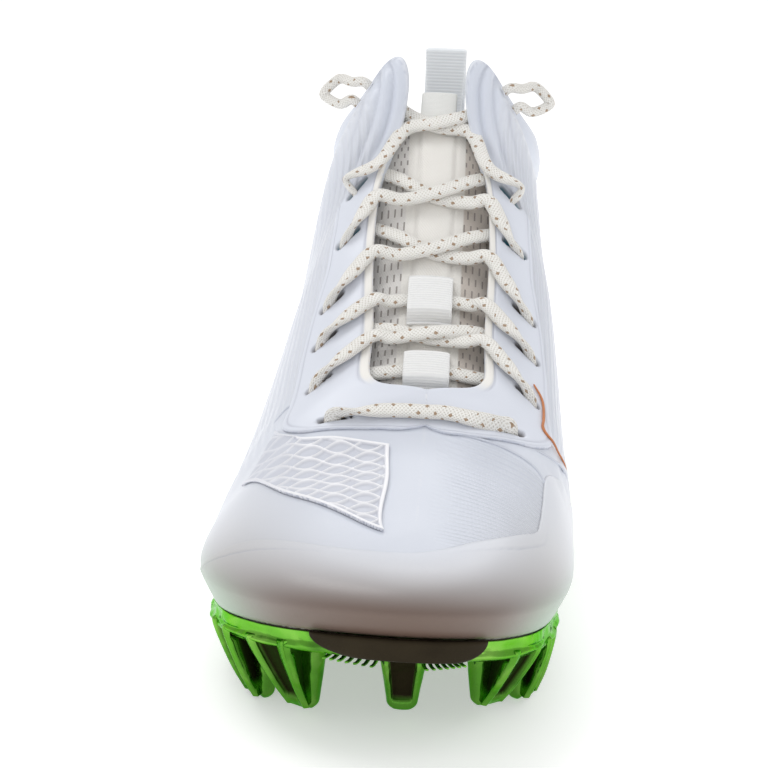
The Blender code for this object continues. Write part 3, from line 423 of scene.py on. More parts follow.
def ridge_slope(u):
    """Rise of the top edge for each metre backwards, where it is the ridge."""
    place = np.clip(along_of(u), VAMP_POINT, 0.97)
    ahead, behind = top_edge(place + 0.01), top_edge(place - 0.01)
    return (behind[..., 2] - ahead[..., 2]) / (behind[..., 1] - ahead[..., 1])


def outward(u):
    """Level direction out of the plan outline."""
    ahead, behind = u + PLAN_STEP, u - PLAN_STEP
    run_x = outline_x(ahead) - outline_x(behind)
    run_y = lengthwise(outline_back(ahead)) - lengthwise(outline_back(behind))
    run = unit(np.stack([run_x, run_y], -1))
    return np.stack([run[..., 1], -run[..., 0], np.zeros(run.shape[:-1])], -1)


def wall_knots(u):
    """Featherline, widest point, shoulder and top edge at u, with the slopes there."""
    tuck, widest, inward, up, level = (f(u) for f in wall)
    back = outline_back(u)
    base = feather_height(back)
    wide = np.stack([outline_x(u), lengthwise(back), base + widest * WIDEST_HEIGHT], -1)
    foot = wide - outward(u) * (tuck * FEATHER_TUCK)[..., None]
    foot[..., 2] = base
    top = top_edge(u)
    shoulder = wide + (top - wide) * inward[..., None]
    shoulder[..., 2] = wide[..., 2] + (top[..., 2] - wide[..., 2]) * up
    foot_slope = (wide - foot) / V_WIDEST
    wide_slope = np.zeros_like(wide)
    wide_slope[..., 2] = FULLNESS * (shoulder[..., 2] - foot[..., 2]) / V_SHOULDER
    shoulder_slope = (top - wide) / (1.0 - V_WIDEST)
    chord = (top - shoulder) / (1.0 - V_SHOULDER)
    flat = chord.copy()
    flat[..., 2] = ridge_slope(u) * flat[..., 1]
    top_slope = chord + (flat - chord) * level[..., None]
    return [foot, wide, shoulder, top], [foot_slope, wide_slope, shoulder_slope, top_slope]


def surface(u, v):
    """Points of the upper's outside, for arrays u and v of one shape.

    Each wall is a cubic through its four knots with the slopes given there.
    """
    u, v = np.broadcast_arrays(np.asarray(u, float), np.asarray(v, float))
    knots, slopes = wall_knots(u)
    levels = [0.0, V_WIDEST, V_SHOULDER, 1.0]
    result = np.zeros(u.shape + (3,))
    for i in range(3):
        low, high = levels[i], levels[i + 1]
        here = v < high if i == 0 else v >= low
        t = ((v - low) / (high - low))[..., None]
        span = high - low
        curve = (
            (2 * t**3 - 3 * t**2 + 1) * knots[i]
            + (t**3 - 2 * t**2 + t) * span * slopes[i]
            + (3 * t**2 - 2 * t**3) * knots[i + 1]
            + (t**3 - t**2) * span * slopes[i + 1]
        )
        result = np.where(here[..., None], curve, result)
    return result


def normal(u, v):
    """Unit direction out of the upper."""
    u, v = np.broadcast_arrays(np.asarray(u, float), np.asarray(v, float))
    run = surface(u + WALL_STEP, v) - surface(u - WALL_STEP, v)
    low, high = np.maximum(v - WALL_STEP, 0.0), np.minimum(v + WALL_STEP, np.maximum(v, 1.0))
    out = np.cross(run, surface(u, high) - surface(u, low))
    slope = ridge_slope(u)
    crest = np.stack([np.zeros_like(slope), -slope, np.ones_like(slope)], -1)
    on_ridge = (along_of(u) >= VAMP_POINT - 1e-9) & (v > 1.0 - 1e-6)
    return unit(np.where(on_ridge[..., None], crest, out))


def lifted(u, v, lift):
    """Points over the wall, each moved by lift along the wall's own direction out."""
    return surface(u, v) + normal(u, v) * np.asarray(lift)[..., None]


def wall_thickness(u, v):
    """Thin film wall, with padding round the collar and in the ears."""
    padded = smooth_fall(along_of(u), 0.40, 0.50)
    return UPPER_WALL + (COLLAR_PADDING - UPPER_WALL) * padded * smooth_step(v, 0.55, 0.85)


def loop_stations(back_count, front_count):
    """Places round the loop, with one of them exactly at the vamp point on each side."""
    half = np.concatenate([
        np.linspace(0.0, VAMP_POINT, back_count + 1),
        np.linspace(VAMP_POINT, 1.0, front_count + 1)[1:],
    ])
    return np.concatenate([half, (2.0 - half[1:-1])[::-1]])


HEEL_FAN = np.linspace(0.10, -0.10, 41)
STATIONS = loop_stations(28, 11)
WALL_ROWS = np.array([0.0, 0.07, V_WIDEST, 0.34, V_SHOULDER, 0.74, 0.87, 1.0])


# Tongue line and laces


TONGUE_LINE = [
    # back, height above the base as a share of INSTEP_HEIGHT, half width share
    (0.262, 0.395, 0.80),
    (0.300, 0.465, 0.86),
    (0.340, 0.548, 0.96),
    (0.400, 0.655, 1.00),
    (0.470, 0.800, 1.00),
    (0.540, 0.985, 0.94),
    (0.580, 1.100, 0.82),
    (0.606, 1.175, 0.66),
]
TONGUE_CURL = 12.0
SIDEWAYS = np.array([1.0, 0.0, 0.0])


def tongue_frame(share):
    """Centre, direction up the tongue and direction out, at a share of its length."""
    share = np.atleast_1d(np.asarray(share, float))

    def at(where):
        y = lengthwise(tongue_value(0, where))
        z = BASE + tongue_value(1, where) * INSTEP_HEIGHT
        x = ridge_x(0.82 - 0.22 * where)
        return np.stack([x, y, z], -1)

    centre = at(share)
    run = at(share + 0.01) - at(share - 0.01)
    run[..., 0] = 0.0
    run = unit(run)
    out = np.stack([np.zeros(len(share)), -run[..., 2], run[..., 1]], -1)
    return centre, run, out


def smooth_table(places, values, where):
    """Catmull-Rom through evenly spaced values, carried straight on past the ends."""
    values = np.asarray(values, float)
    step = places[1] - places[0]
    i = np.clip(((where - places[0]) / step).astype(int), 0, len(values) - 2)
    padded = np.concatenate([[2 * values[0] - values[1]], values, [2 * values[-1] - values[-2]]])
    a, b, c, d = padded[i], padded[i + 1], padded[i + 2], padded[i + 3]
    t = (where - places[i]) / step
    inside = 0.5 * (2 * b + (c - a) * t + (2 * a - 5 * b + 4 * c - d) * t**2
                    + (3 * b - a - 3 * c + d) * t**3)
    line = b + (c - b) * t
    return np.where((t < 0) | (t > 1), line, inside)


def tongue_point(share, across, lift=0.0):
    """A point on the tongue's front: across in metres from its centre line."""
    centre, _, out = tongue_frame(share)
    across = np.asarray(across, float)
    drop = lift - TONGUE_CURL * across**2
    return centre + SIDEWAYS * across[..., None] + out * np.asarray(drop)[..., None]


def curve_through(points, count):
    """Even samples of a Catmull-Rom curve through a few points."""
    points = np.asarray(points, float)
    places, where = steps(len(points)), steps(count)
    return np.stack([smooth_table(places, line, where) for line in points.T], -1)


def tongue_value(index, share):
    """A column of the tongue's table, at a share of its length."""
    return smooth_table(steps(len(TONGUE_LINE)), column(TONGUE_LINE, index), share)


def throat_share(back):
    """Share of the tongue's length at a share of the shoe's length."""
    places = steps(200)
    return np.interp(back, tongue_value(0, places), places)


def crosswise(y, side, v):
    """Places u at which the wall's lines of height v reach the plane at y."""
    along = np.linspace(0.55, 0.99, 120)
    u = along if side == "lateral" else 2.0 - along
    return np.array([np.interp(-y, -surface(u, np.full(120, level))[:, 1], u) for level in v])


def loop_route(side):
    """Route of a lace loop: out from the ear, round, and back to the ear above."""
    u = LOOP_PLACE if side == "lateral" else 2.0 - LOOP_PLACE
    out = normal(u, 0.88)
    start, end = (surface(u, v) + out * CLEARANCE * 2 for v in (0.84, 0.92))
    reach = np.array([SIGNS[side] * LACE_LOOP_REACH, 0.004, 0.0])
    bends = [(start, 0.45, 0.0, -0.0005), (start, 0.80, 0.001, 0.0010), ((start + end) / 2, 1.02, 0.0, 0.0),
             (end, 0.80, 0.001, 0.0015), (end, 0.45, 0.0, 0.0010)]
    route = [origin + reach * share + np.array([0.0, y, z]) for origin, share, y, z in bends]
    return [start, start + out * LACE_THICKNESS, *route, end + out * LACE_THICKNESS, end]


def plate_bottom(back):
    """Height of the plate's underside."""
    return feather_height(back) - CLEARANCE - PLATE_THICKNESS


def level_at(u, height):
    """The v at which the wall stands height above the featherline."""
    v = np.linspace(0.0, 0.6, 61)
    grid = surface(*mesh_of(u, v))
    rise = grid[..., 2] - grid[:, :1, 2]
    return np.array([np.interp(h, r, v) for h, r in zip(height, rise)])


def rim_level(u):
    """The v at which the plate's rim ends."""
    return level_at(u, rim_share(u) * RIM_HEIGHT)


def back_of(points):
    """Share of the length behind the toe tip."""
    return points[..., 1] / LENGTH + 0.5


def rim_lines(u):
    """The plate's outer lip above and its lower edge, round the loop."""
    foot, out = surface(u, np.zeros(len(u))), normal(u, np.zeros(len(u)))
    lip = foot + out * (CLEARANCE + RIM_THICKNESS)
    edge = foot + outward(u) * RIM_THICKNESS * 0.6
    edge[:, 2] = plate_bottom(outline_back(u))
    return lip, edge


def plate_edge(back, side):
    """X of the featherline at a share of the length, by interpolation round the loop."""
    along = steps(200)
    line = surface(along if side < 0 else 2.0 - along, np.zeros(200))
    return float(np.interp(-lengthwise(back), -line[:, 1], line[:, 0]))


# Looks: how fine each surface is, and the sizes of its relief

FINE_BACK = 210
FINE_FRONT = 100
FINE_ROWS = 112
FILM_LIFT = 0.00012
EYESTAY_FILM = 0.00085
TOE_FILM = 0.00040
LEAF_FILM = 0.00030
LEAF_RIB = 0.00075
LEAF_RIBS = 8.0
LEAF_CELL = 0.016
EDGE_ROUND = 0.0008
SLOT_LENGTH = 0.0100
SLOT_WIDTH = 0.0021
SLOT_DEPTH = 0.0021
TEETH = 7
TEETH_START = 0.0042
TEETH_PITCH = 0.0015
BAR_ARCH = 0.0034
STRAND_WIDTH = 0.0049
STRAND_THICKNESS = 0.0021
STRAND_SAMPLES = 110
LOOP_WIDTH = 0.0033
PIPING_RADIUS = 0.00042
TUBE_UV = 100.0

# Where the photograph's camera stands, in the last's own axes: place and turns in degrees
CAMERA_PLACE = (0.0173, -0.5281, 0.2020)
CAMERA_YAW = -3.15
CAMERA_PITCH = 15.15
CAMERA_ROLL = 2.08
CAMERA_FOCUS = 1124.0
PHOTO_PIXELS = 768
PHOTO_ZOOM = 1.52
SENSOR = 36.0


# Frame


def frame_shift():
    """From the last's axes to the frame's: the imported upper's box less the last's own box."""
    own = surface(*mesh_of(STATIONS, WALL_ROWS)).reshape(-1, 3)
    low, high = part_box("upper")
    return np.array([low[0] - own[:, 0].min(), high[1] - own[:, 1].max(), 0.0])


def new_object(name, data):
    """An object with this data, linked to the scene."""
    made = bpy.data.objects.new(name, data)
    bpy.context.scene.collection.objects.link(made)
    return made


SHIFT = frame_shift()


# Mesh


class Patchwork:
    """Collects grids of points into one mesh with a UV map and named values at its points."""

    def __init__(self, *values):
        self.names = values
        self.points, self.uv, self.quads = [], [], []
        self.values = {name: [] for name in values}
        self.count = 0

    def grid(self, points, uv=None, keep=None, flip=False, **values):
        """Adds the quads of an (n, m, 3) grid; keep chooses rows, as a mask over n."""
        n, m = points.shape[:2]
        index = self.count + np.arange(n * m).reshape(n, m)
        self.count += n * m
        quads = np.stack([index[:-1, :-1], index[1:, :-1], index[1:, 1:], index[:-1, 1:]], -1)
        if keep is not None:
            quads = quads[keep[:-1] & keep[1:]]
        quads = quads.reshape(-1, 4)
        self.quads.append(quads[:, ::-1] if flip else quads)
        self.points.append(points.reshape(-1, 3))
        if uv is None:
            uv = np.stack(mesh_of(steps(n), steps(m)), -1)
        self.uv.append(np.broadcast_to(uv, (n, m, 2)).reshape(-1, 2))
        for name in self.names:
            value = np.broadcast_to(np.asarray(values.get(name, 0.0), float), (n, m))
            self.values[name].append(value.reshape(-1))
        return self

    def build(self, name, finish, slot, *replaced):
        """Makes the mesh piece, merges its seams, turns its faces outwards and lets it ride."""
        points = np.concatenate(self.points) + SHIFT
        quads = np.concatenate(self.quads)
        uv = np.concatenate(self.uv)
        mesh = bpy.data.meshes.new(name)
        mesh.vertices.add(len(points))
        mesh.vertices.foreach_set("co", points.ravel())
        mesh.loops.add(quads.size)
        mesh.loops.foreach_set("vertex_index", quads.ravel())
        mesh.polygons.add(len(quads))
        mesh.polygons.foreach_set("loop_start", np.arange(len(quads)) * 4)
        mesh.update(calc_edges=True)
        layer = mesh.uv_layers.new(name="UVMap")
        layer.data.foreach_set("uv", uv[quads.ravel()].ravel())
        for key in self.names:
            made = mesh.attributes.new(key, "FLOAT", "POINT")
            made.data.foreach_set("value", np.concatenate(self.values[key]))
        work = bmesh.new()
        work.from_mesh(mesh)
        bmesh.ops.remove_doubles(work, verts=work.verts, dist=2e-6)
        bmesh.ops.dissolve_degenerate(work, edges=work.edges, dist=1e-7)
        bmesh.ops.recalc_face_normals(work, faces=work.faces)
        work.to_mesh(mesh)
        work.free()
        mesh.shade_smooth()
        piece = new_object(name, mesh)
        mesh.materials.append(finish)
        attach(piece, "root")
        if replaced:
            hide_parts(*replaced)
        return piece


def hump(value, centre, width):
    """Bell of height 1 round centre."""
    return np.exp(-(((value - centre) / width) ** 2))


def ridges(phase, sharp=1.0):
    """Round ridges at whole numbers of phase, 0 to 1."""
    return (0.5 + 0.5 * np.cos(math.tau * phase)) ** sharp


# Materials


class Value:
    """A socket that takes part in arithmetic, each step a Math node."""

    def __init__(self, finish, socket):
        self.finish, self.socket = finish, socket

    def math(self, operation, *others):
        inputs = {0: self}
        inputs.update({i + 1: other for i, other in enumerate(others)})
        return self.finish.node("ShaderNodeMath", {"operation": operation}, inputs)

    def __add__(self, other):
        return self.math("ADD", other)

    __radd__ = __add__

    def __mul__(self, other):
        return self.math("MULTIPLY", other)

    __rmul__ = __mul__

    def __sub__(self, other):
        return self.math("SUBTRACT", other)

    def __rsub__(self, other):
        return (self * -1.0) + other

    def __truediv__(self, other):
        return self.math("DIVIDE", other)

    def sine(self):
        return self.math("SINE")

    def part(self):
        return self.math("FRACT")

    def size(self):
        return self.math("ABSOLUTE")

    def below(self, other):
        return self.math("LESS_THAN", other)

    def above(self, other):
        return self.math("GREATER_THAN", other)

    def step(self, low, high):
        """Smooth step from 0 at low to 1 at high."""
        inputs = {"Value": self, "From Min": low, "From Max": high}
        return self.finish.node("ShaderNodeMapRange", {"interpolation_type": "SMOOTHSTEP"}, inputs)


class Finish:
    """One material: a Principled shader, and any other node by type, settings and inputs."""

    def __init__(self, name, **constants):
        self.material = bpy.data.materials.new(name)
        self.material.use_nodes = True
        self.tree = self.material.node_tree
        self.shader = self.tree.nodes["Principled BSDF"]
        for key, value in constants.items():
            self.shader.inputs[key.replace("_", " ")].default_value = value

    def put(self, socket, value):
        if isinstance(value, Value):
            self.tree.links.new(value.socket, socket)
        elif isinstance(value, tuple) and len(value) == 3 and socket.type == "RGBA":
            socket.default_value = (*value, 1.0)
        else:
            socket.default_value = value

    def node(self, kind, settings=None, inputs=None, output=0):
        made = self.tree.nodes.new(kind)
        for key, value in (settings or {}).items():
            setattr(made, key, value)
        for key, value in (inputs or {}).items():
            self.put(made.inputs[key], value)
        return Value(self, made.outputs[output])

    def value(self, name):
        return self.node("ShaderNodeAttribute", {"attribute_name": name}, output="Fac")

    def uv(self):
        place = self.node("ShaderNodeUVMap", {"uv_map": "UVMap"})
        return [self.node("ShaderNodeSeparateXYZ", inputs={0: place}, output=i) for i in (0, 1)]

    def place(self):
        return self.node("ShaderNodeTexCoord", output="Object")

    def axes(self):
        place = self.place()
        return [self.node("ShaderNodeSeparateXYZ", inputs={0: place}, output=i) for i in range(3)]

    def noise(self, scale, detail=3.0, rough=0.5, vector=None):
        inputs = {"Vector": vector or self.place(), "Scale": scale, "Detail": detail, "Roughness": rough}
        return self.node("ShaderNodeTexNoise", inputs=inputs)

    def mix(self, factor, a, b):
        """Colour a where factor is 0, b where it is 1."""
        return self.node("ShaderNodeMix", {"data_type": "RGBA"}, {0: factor, 6: a, 7: b}, output=2)

    def bump(self, height, distance, strength=1.0, before=None):
        inputs = {"Height": height, "Distance": distance, "Strength": strength}
        if before is not None:
            inputs["Normal"] = before
        return self.node("ShaderNodeBump", inputs=inputs)

    def layers(self, colour, *layers):
        """The colour with each factor and colour mixed over the ones before."""
        for factor, over in layers:
            colour = self.mix(factor, colour, over)
        return colour

    def relief(self, *layers):
        """Bumps laid one on another, each a height, a distance and a strength."""
        normal = None
        for layer in layers:
            normal = self.bump(*layer, before=normal)
        return normal

    def done(self, colour=None, roughness=None, normal=None, coat=None, metallic=None):
        keys = ("Base Color", "Roughness", "Normal", "Coat Weight", "Metallic")
        for key, value in zip(keys, (colour, roughness, normal, coat, metallic)):
            if value is not None:
                self.put(self.shader.inputs[key], value)
        return self.material


WHITE = (0.775, 0.785, 0.815)
LAVENDER = (0.625, 0.665, 0.755)
TOE_SHADE = (0.345, 0.325, 0.300)
# Painted warm shade: the toe's lower front in shadow, browned by reflected floor colour
WARM_SHADE = (0.120, 0.068, 0.046)
# Painted reflection of the green plate, low on the upper's sides
GREEN_REFLECTION = (0.33, 0.55, 0.38)
TEAL = (0.04, 0.22, 0.30)
GREEN = (0.15, 0.46, 0.04)
DARK_GREEN = (0.012, 0.055, 0.008)
ORANGE = (0.62, 0.22, 0.08)


def film_finish():
    """Satin film: painted shade at the toe's front, warmed there by a painted floor reflection, a painted
    green reflection of the plate low on the sides, fine stripes and grain.
    """
    f = Finish("satin film", IOR=1.46, Coat_Roughness=0.25)
    lining = f.value("lining")
    stripe = (f.value("stripe_phase") * math.tau).sine() * f.value("stripe")
    colour = f.layers(
        WHITE,
        (f.value("tint"), LAVENDER),
        (stripe.size() * 0.17, (0.52, 0.56, 0.66)),
        (f.noise(28.0, 4.0) * 0.10, (0.78, 0.80, 0.90)),
        (f.value("shade") * 0.88, TOE_SHADE),
        # painted green reflection of the plate, low on the sides of the toe
        (f.value("green") * 0.55, GREEN_REFLECTION),
        # painted warm shade and floor reflection at the toe's lower front
        (f.value("warm_shade") * 0.92, WARM_SHADE),
        (f.value("seam"), (0.42, 0.44, 0.52)),
        (lining, (0.60, 0.64, 0.68)),
    )
    knit = (f.axes()[2] * 4200.0).sine() * lining
    relief = f.relief((stripe, 0.00032, 0.70), (f.noise(2600.0, 2.0), 0.00006, 0.35), (knit, 0.0002, 0.6))
    rough = 0.34 + f.noise(900.0, 3.0) * 0.16 + lining * 0.4
    return f.done(colour, rough, relief, coat=0.18 - lining * 0.18)


def panel_finish():
    """The raised lattice: whiter on its ribs, grey in its hollows."""
    f = Finish("lattice film", IOR=1.46)
    high = f.value("rib")
    colour = f.mix(high, (0.60, 0.62, 0.69), (0.90, 0.90, 0.93))
    return f.done(colour, 0.42 - high * 0.08, f.bump(f.noise(3000.0, 2.0), 0.00005, 0.4), coat=0.15)


def eyestay_finish():
    """Pale film with cream inner edges, slots painted dark with the shade inside them, and a teal lining in
    the upper two.
    """
    f = Finish("eyestay film", IOR=1.46, Coat_Roughness=0.3)
    slot, cream = f.value("slot"), f.value("cream")
    colour = f.layers(
        (0.84, 0.85, 0.90),
        (f.value("tint"), LAVENDER),
        (f.noise(40.0, 4.0) * 0.10, (0.80, 0.83, 0.92)),
        (cream, (0.86, 0.84, 0.80)),
        (f.value("seam") * 0.55, (0.46, 0.47, 0.54)),
        # slots: painted shade, dark brown inside each hole; the teal of the upper two is the lining's own
        # colour
        (slot, f.mix(f.value("teal"), (0.10, 0.07, 0.05), TEAL)),
    )
    relief = f.bump(f.noise(2600.0, 2.0), 0.00006, 0.35)
    return f.done(colour, 0.36 + cream * 0.2 + slot * 0.3, relief, coat=0.15 - cream * 0.15)


def lace_finish():
    """Flat braid: crossing yarns at a slant, painted shade in the gaps between the yarns, with tan flecks in
    rows along the edges.
    """
    f = Finish("braided lace", Sheen_Weight=0.2)
    along, around = f.uv()
    slants = [((along * 9.0 + around * slant) * math.pi).sine().size() for slant in (12.0, -12.0)]
    yarn = slants[0].math("MAXIMUM", slants[1])
    near = [((along * 2.1 + around * slant).part() - 0.5).size().below(0.16) for slant in (3.0, -3.0)]
    fleck = near[0] * near[1] * f.noise(260.0, 2.0).above(0.47)
    colour = f.layers(
        # the base colour is painted shade between the yarns
        (0.70, 0.66, 0.58),
        (yarn, (0.92, 0.91, 0.88)),
        (f.noise(500.0, 2.0) * 0.25, (0.84, 0.79, 0.71)),
        (fleck * 0.85, (0.34, 0.20, 0.09)),
    )
    return f.done(colour, 0.82, f.relief((yarn, 0.00035, 0.9), (f.noise(4000.0, 2.0), 0.00008, 0.5)))


def mesh_finish():
    """Tongue cloth: rows of short upright dashes either side of a plain middle band, the medial field
    darkened with painted shade.
    """
    f = Finish("tongue cloth", Sheen_Weight=0.25)
    across, up = f.uv()
    row = up * 40.0
    shifted = across * 21.0 + row.math("FLOOR") * 0.5
    outside = (across - 0.5).size()
    field = outside.step(0.20, 0.215).math("MAXIMUM", 1.0 - up.step(0.20, 0.22))
    field = field * (1.0 - outside.step(0.455, 0.47))
    dash = (shifted.part() - 0.5).size().below(0.12) * (row.part() - 0.5).size().below(0.30) * field
    colour = f.layers(
        (0.88, 0.86, 0.82),
        # dashed fields: light grey on the lateral side, painted shade making the medial side brown-grey
        (field, f.mix(across.step(0.45, 0.62), (0.80, 0.78, 0.76), (0.58, 0.52, 0.47))),
        (f.noise(60.0, 4.0) * 0.25, (0.70, 0.66, 0.62)),
        (dash * 0.8, (0.25, 0.22, 0.20)),
    )
    x, _, z = f.axes()
    weave = (x * 7000.0).sine() * (z * 7000.0).sine()
    return f.done(colour, 0.85, f.relief((dash * -1.0, 0.0006, 0.8), (weave, 0.0001, 0.5)))


def webbing_finish(name, base, low, pitch, depth):
    """Ribbed webbing: cross ribs along its UV length and a fine twill."""
    f = Finish(name, Sheen_Weight=0.3)
    along, across = f.uv()
    rib = (along * (math.tau / pitch)).sine() * 0.5 + 0.5
    twill = ((along / pitch * 3.0 + across * 24.0) * math.tau).sine() * 0.5 + 0.5
    edge = (across - 0.5).size().step(0.40, 0.47)
    colour = f.layers(low, (rib, base), (twill * 0.12, low), (edge * 0.4, base))
    return f.done(colour, 0.72, f.relief((rib, depth, 0.8), (twill, 0.0001, 0.5)))


def chrome_finish():
    """Green plated moulding: long bright and deep swirls of painted reflection, painted shade deeper in its
    hollows and darker low down, scuffed low down.
    """
    f = Finish("green chrome", IOR=1.6, Coat_Roughness=0.06, Specular_Tint=(0.40, 0.80, 0.28, 1.0))
    dark, low = f.value("dark"), f.value("low")
    inputs = {"Vector": f.place(), "Scale": 44.0, "Detail": 2.0, "Distortion": 1.4}
    swirl = f.node("ShaderNodeTexNoise", inputs=inputs)
    deep = 1.0 - (swirl - f.noise(38.0, 3.0) * 0.25).step(0.16, 0.36)
    colour = f.layers(
        GREEN,
        # painted reflection: dark swirls and bright yellow-green swirls
        (deep * 0.65, DARK_GREEN),
        (swirl.step(0.50, 0.68) * 0.55, (0.34, 0.66, 0.12)),
        # painted shade, darker towards the bottom and under the plate; the same mask also sets the scuffs
        # below
        (low * 0.70, DARK_GREEN),
        # painted shade: near black in the studs' hollows and on their flanks that turn forward
        (dark, (0.020, 0.014, 0.008)),
    )
    scuff = f.noise(700.0, 4.0).step(0.60, 0.75) * low
    rough = 0.14 + dark * 0.45 + scuff * 0.25
    return f.done(colour, rough, f.bump(swirl, 0.0034, 0.60), coat=0.12 - dark * 0.12, metallic=0.94)


def dark_finish():
    """Black glossy lens with a faint warm sheen."""
    f = Finish("dark lens", Metallic=0.85, IOR=1.3)
    cloud = f.noise(90.0, 4.0)
    colour = f.mix(cloud, (0.014, 0.010, 0.006), (0.045, 0.035, 0.020))
    relief = f.bump(f.noise(1500.0, 3.0), 0.00008, 0.5)
    return f.done(colour, 0.46 + cloud * 0.15, relief)


def foam_finish():
    """Brushed textile over foam, with a fine cross weave."""
    f = Finish("footbed cloth", Sheen_Weight=0.3)
    x, y = f.axes()[:2]
    weave = (x * 5200.0).sine() * (y * 5200.0).sine()
    colour = f.mix(f.noise(45.0, 5.0), (0.52, 0.54, 0.57), (0.62, 0.64, 0.67))
    colour = f.mix(weave * 0.15 + 0.15, colour, (0.20, 0.22, 0.25))
    return f.done(colour, 0.9, f.bump(weave, 0.00015, 0.6))


def plain_finish(name, colour, rough):
    """Woven thread or piping with a fine grain."""
    f = Finish(name)
    shade = f.mix(f.noise(400.0, 3.0), colour, tuple(c * 0.72 for c in colour))
    return f.done(shade, rough, f.bump(f.noise(2500.0, 2.0), 0.0001, 0.5))


# Upper shell

FINE_STATIONS = np.append(loop_stations(FINE_BACK, FINE_FRONT), 2.0)
LINING_ROWS = 23
FINE_STRIPE = 0.0019
FILM_VALUES = ("tint", "stripe", "stripe_phase", "warm_shade", "shade", "green", "seam", "lining")

# Creases given one by one. place, height: where on the wall. width, reach: how far they spread
# along the shoe and up the wall. depth: metres, towards the inside when negative.
FLEX_CREASES = [
    # place, height, width, reach, depth
    (0.790, 0.50, 0.010, 0.16, -0.0005),
    (0.765, 0.42, 0.012, 0.14, 0.0004),
    (0.735, 0.36, 0.012, 0.13, -0.0005),
]
ANKLE_CREASES = [
    # place, height, width, reach, depth
    (0.36, 0.52, 0.050, 0.05, -0.0007),
    (0.34, 0.62, 0.055, 0.045, 0.0005),
    (0.33, 0.72, 0.050, 0.04, -0.0006),
]
# How far an ear's two channels lie from its inner edge
EAR_CHANNELS = (0.0046, 0.0094)


def ear_distance(u, v):
    """Level distance from an ear's inner edge, at the height of each point."""
    edge = top_edge(np.linspace(0.475, 0.70, 120))
    points = surface(u, v)
    inner = np.interp(points[..., 2], edge[::-1, 2], np.abs(edge[::-1, 0]))
    return np.abs(points[..., 0]) - inner


def creases(u, v):
    """Soft troughs and ridges: across the flex line, at the ankle, in the ears and round the collar."""
    along, inside = along_of(u), ear_distance(u, v)
    depth = np.zeros_like(along)
    for place, height, width, reach, amount in FLEX_CREASES:
        depth += amount * hump(along + (v - height) * 0.10, place, width) * hump(v, height, reach)
    for place, height, width, reach, amount in ANKLE_CREASES:
        depth += amount * hump(along, place, width) * hump(v + (along - place) * 0.8, height, reach)
    ear = window(along, 0.415, 0.44, 0.53, 0.56) * smooth_step(v, 0.60, 0.80)
    channels = hump(inside, EAR_CHANNELS[0], 0.0009) + hump(inside, EAR_CHANNELS[1], 0.0010)
    rolls = hump(inside, 0.0022, 0.0014) + hump(inside, 0.0070, 0.0014)
    depth += ear * (0.0006 * rolls - 0.0010 * channels)
    pad = window(along, 0.02, 0.10, 0.36, 0.44)
    depth += pad * (0.0009 * hump(v, 0.93, 0.06) - 0.0007 * hump(v, 0.845, 0.018))
    wave = np.sin(along * 41.0 + v * 7.0) * np.sin(v * 17.0 - along * 23.0) + np.sin(u * 13.0 + v * 9.0)
    wave = wave * np.where(np.mod(u, 2.0) < 1.0, 1.0, 0.8)
    return depth + 0.00012 * wave * window(v, 0.05, 0.2, 0.9, 1.0)


def slot_field(u, v, grow=0.0):
    """1 inside a lace slot, 0 outside, for points of the wall."""
    field = np.zeros(u.shape)
    points = surface(u, v)
    for row, eyelet in enumerate(EYELETS):
        for place in (eyelet[0], 2.0 - eyelet[0]):
            centre, run, across = slot_axes(row, place, eyelet[1])
            gap = points - centre
            far = np.linalg.norm(gap, axis=-1) > SLOT_LENGTH
            x = np.abs(gap @ run) - (SLOT_LENGTH - SLOT_WIDTH) / 2
            away = np.hypot(np.maximum(x, 0.0), np.abs(gap @ across)) - SLOT_WIDTH / 2 - grow + far * 1.0
            field = np.maximum(field, smooth_fall(away, -0.0004, 0.0003))
    return field


def slot_axes(row, u, up):
    """A slot's centre, the direction its lace leaves in, and the direction across it."""
    centre, out = surface(u, up), normal(u, up)
    toward = np.array([-0.8 if u > 1.0 else 0.8, 0.60 if row else 0.0, 0.3])
    run = unit(toward - out * np.dot(toward, out))
    return centre, run, np.cross(out, run)


def film_values(u, v):
    """Colour and stripe values over the wall, for the film's material."""
    along, points = along_of(u), surface(u, v)
    from_tip = np.abs(along - 1.0)
    quarter = window(along, 0.10, 0.22, 0.74, 0.80) * window(v, 0.10, 0.2, 0.80, 0.88)
    panel = (np.mod(u, 2.0) > 1.0) & (along > 0.84) & (v < 0.95)
    fine = smooth_step(points[..., 0], 0.004, 0.022) * smooth_fall(along, 0.965, 0.985)
    fine = fine * smooth_step(v, 0.44, 0.54)
    slanted = (points[..., 0] * 0.5 + points[..., 1]) / FINE_STRIPE
    collar = smooth_fall(along, 0.50, 0.56) * smooth_step(v, 0.80, 0.90)
    tint = 0.45 + 0.30 * smooth_step(v, 0.3, 0.8) + 0.12 * collar - 0.25 * quarter * smooth_step(v, 0.5, 0.75)
    # painted green reflection of the plate: near the sole, away from the toe tip
    green = smooth_fall(v, 0.02, 0.36) * smooth_step(from_tip, 0.018, 0.07)
    return {
        "tint": clamp(tint),
        "stripe": clamp(quarter + np.where(panel, fine, 0.0) * 0.8),
        "stripe_phase": np.where(along > 0.83, slanted, v * 24.0 + along * 2.0),
        # painted shade on the toe's front: warm brown low in the middle, grey over the rest of the toe
        "warm_shade": hump(along, 1.0, 0.050) * smooth_fall(v, 0.12, 0.80),
        "shade": smooth_fall(from_tip, 0.06, 0.19) * smooth_fall(v, 0.05, 0.86),
        "green": green * (0.35 + 0.65 * hump(along, 0.93, 0.09)),
        "seam": 0.8 * collar_seam(u, v),
    }


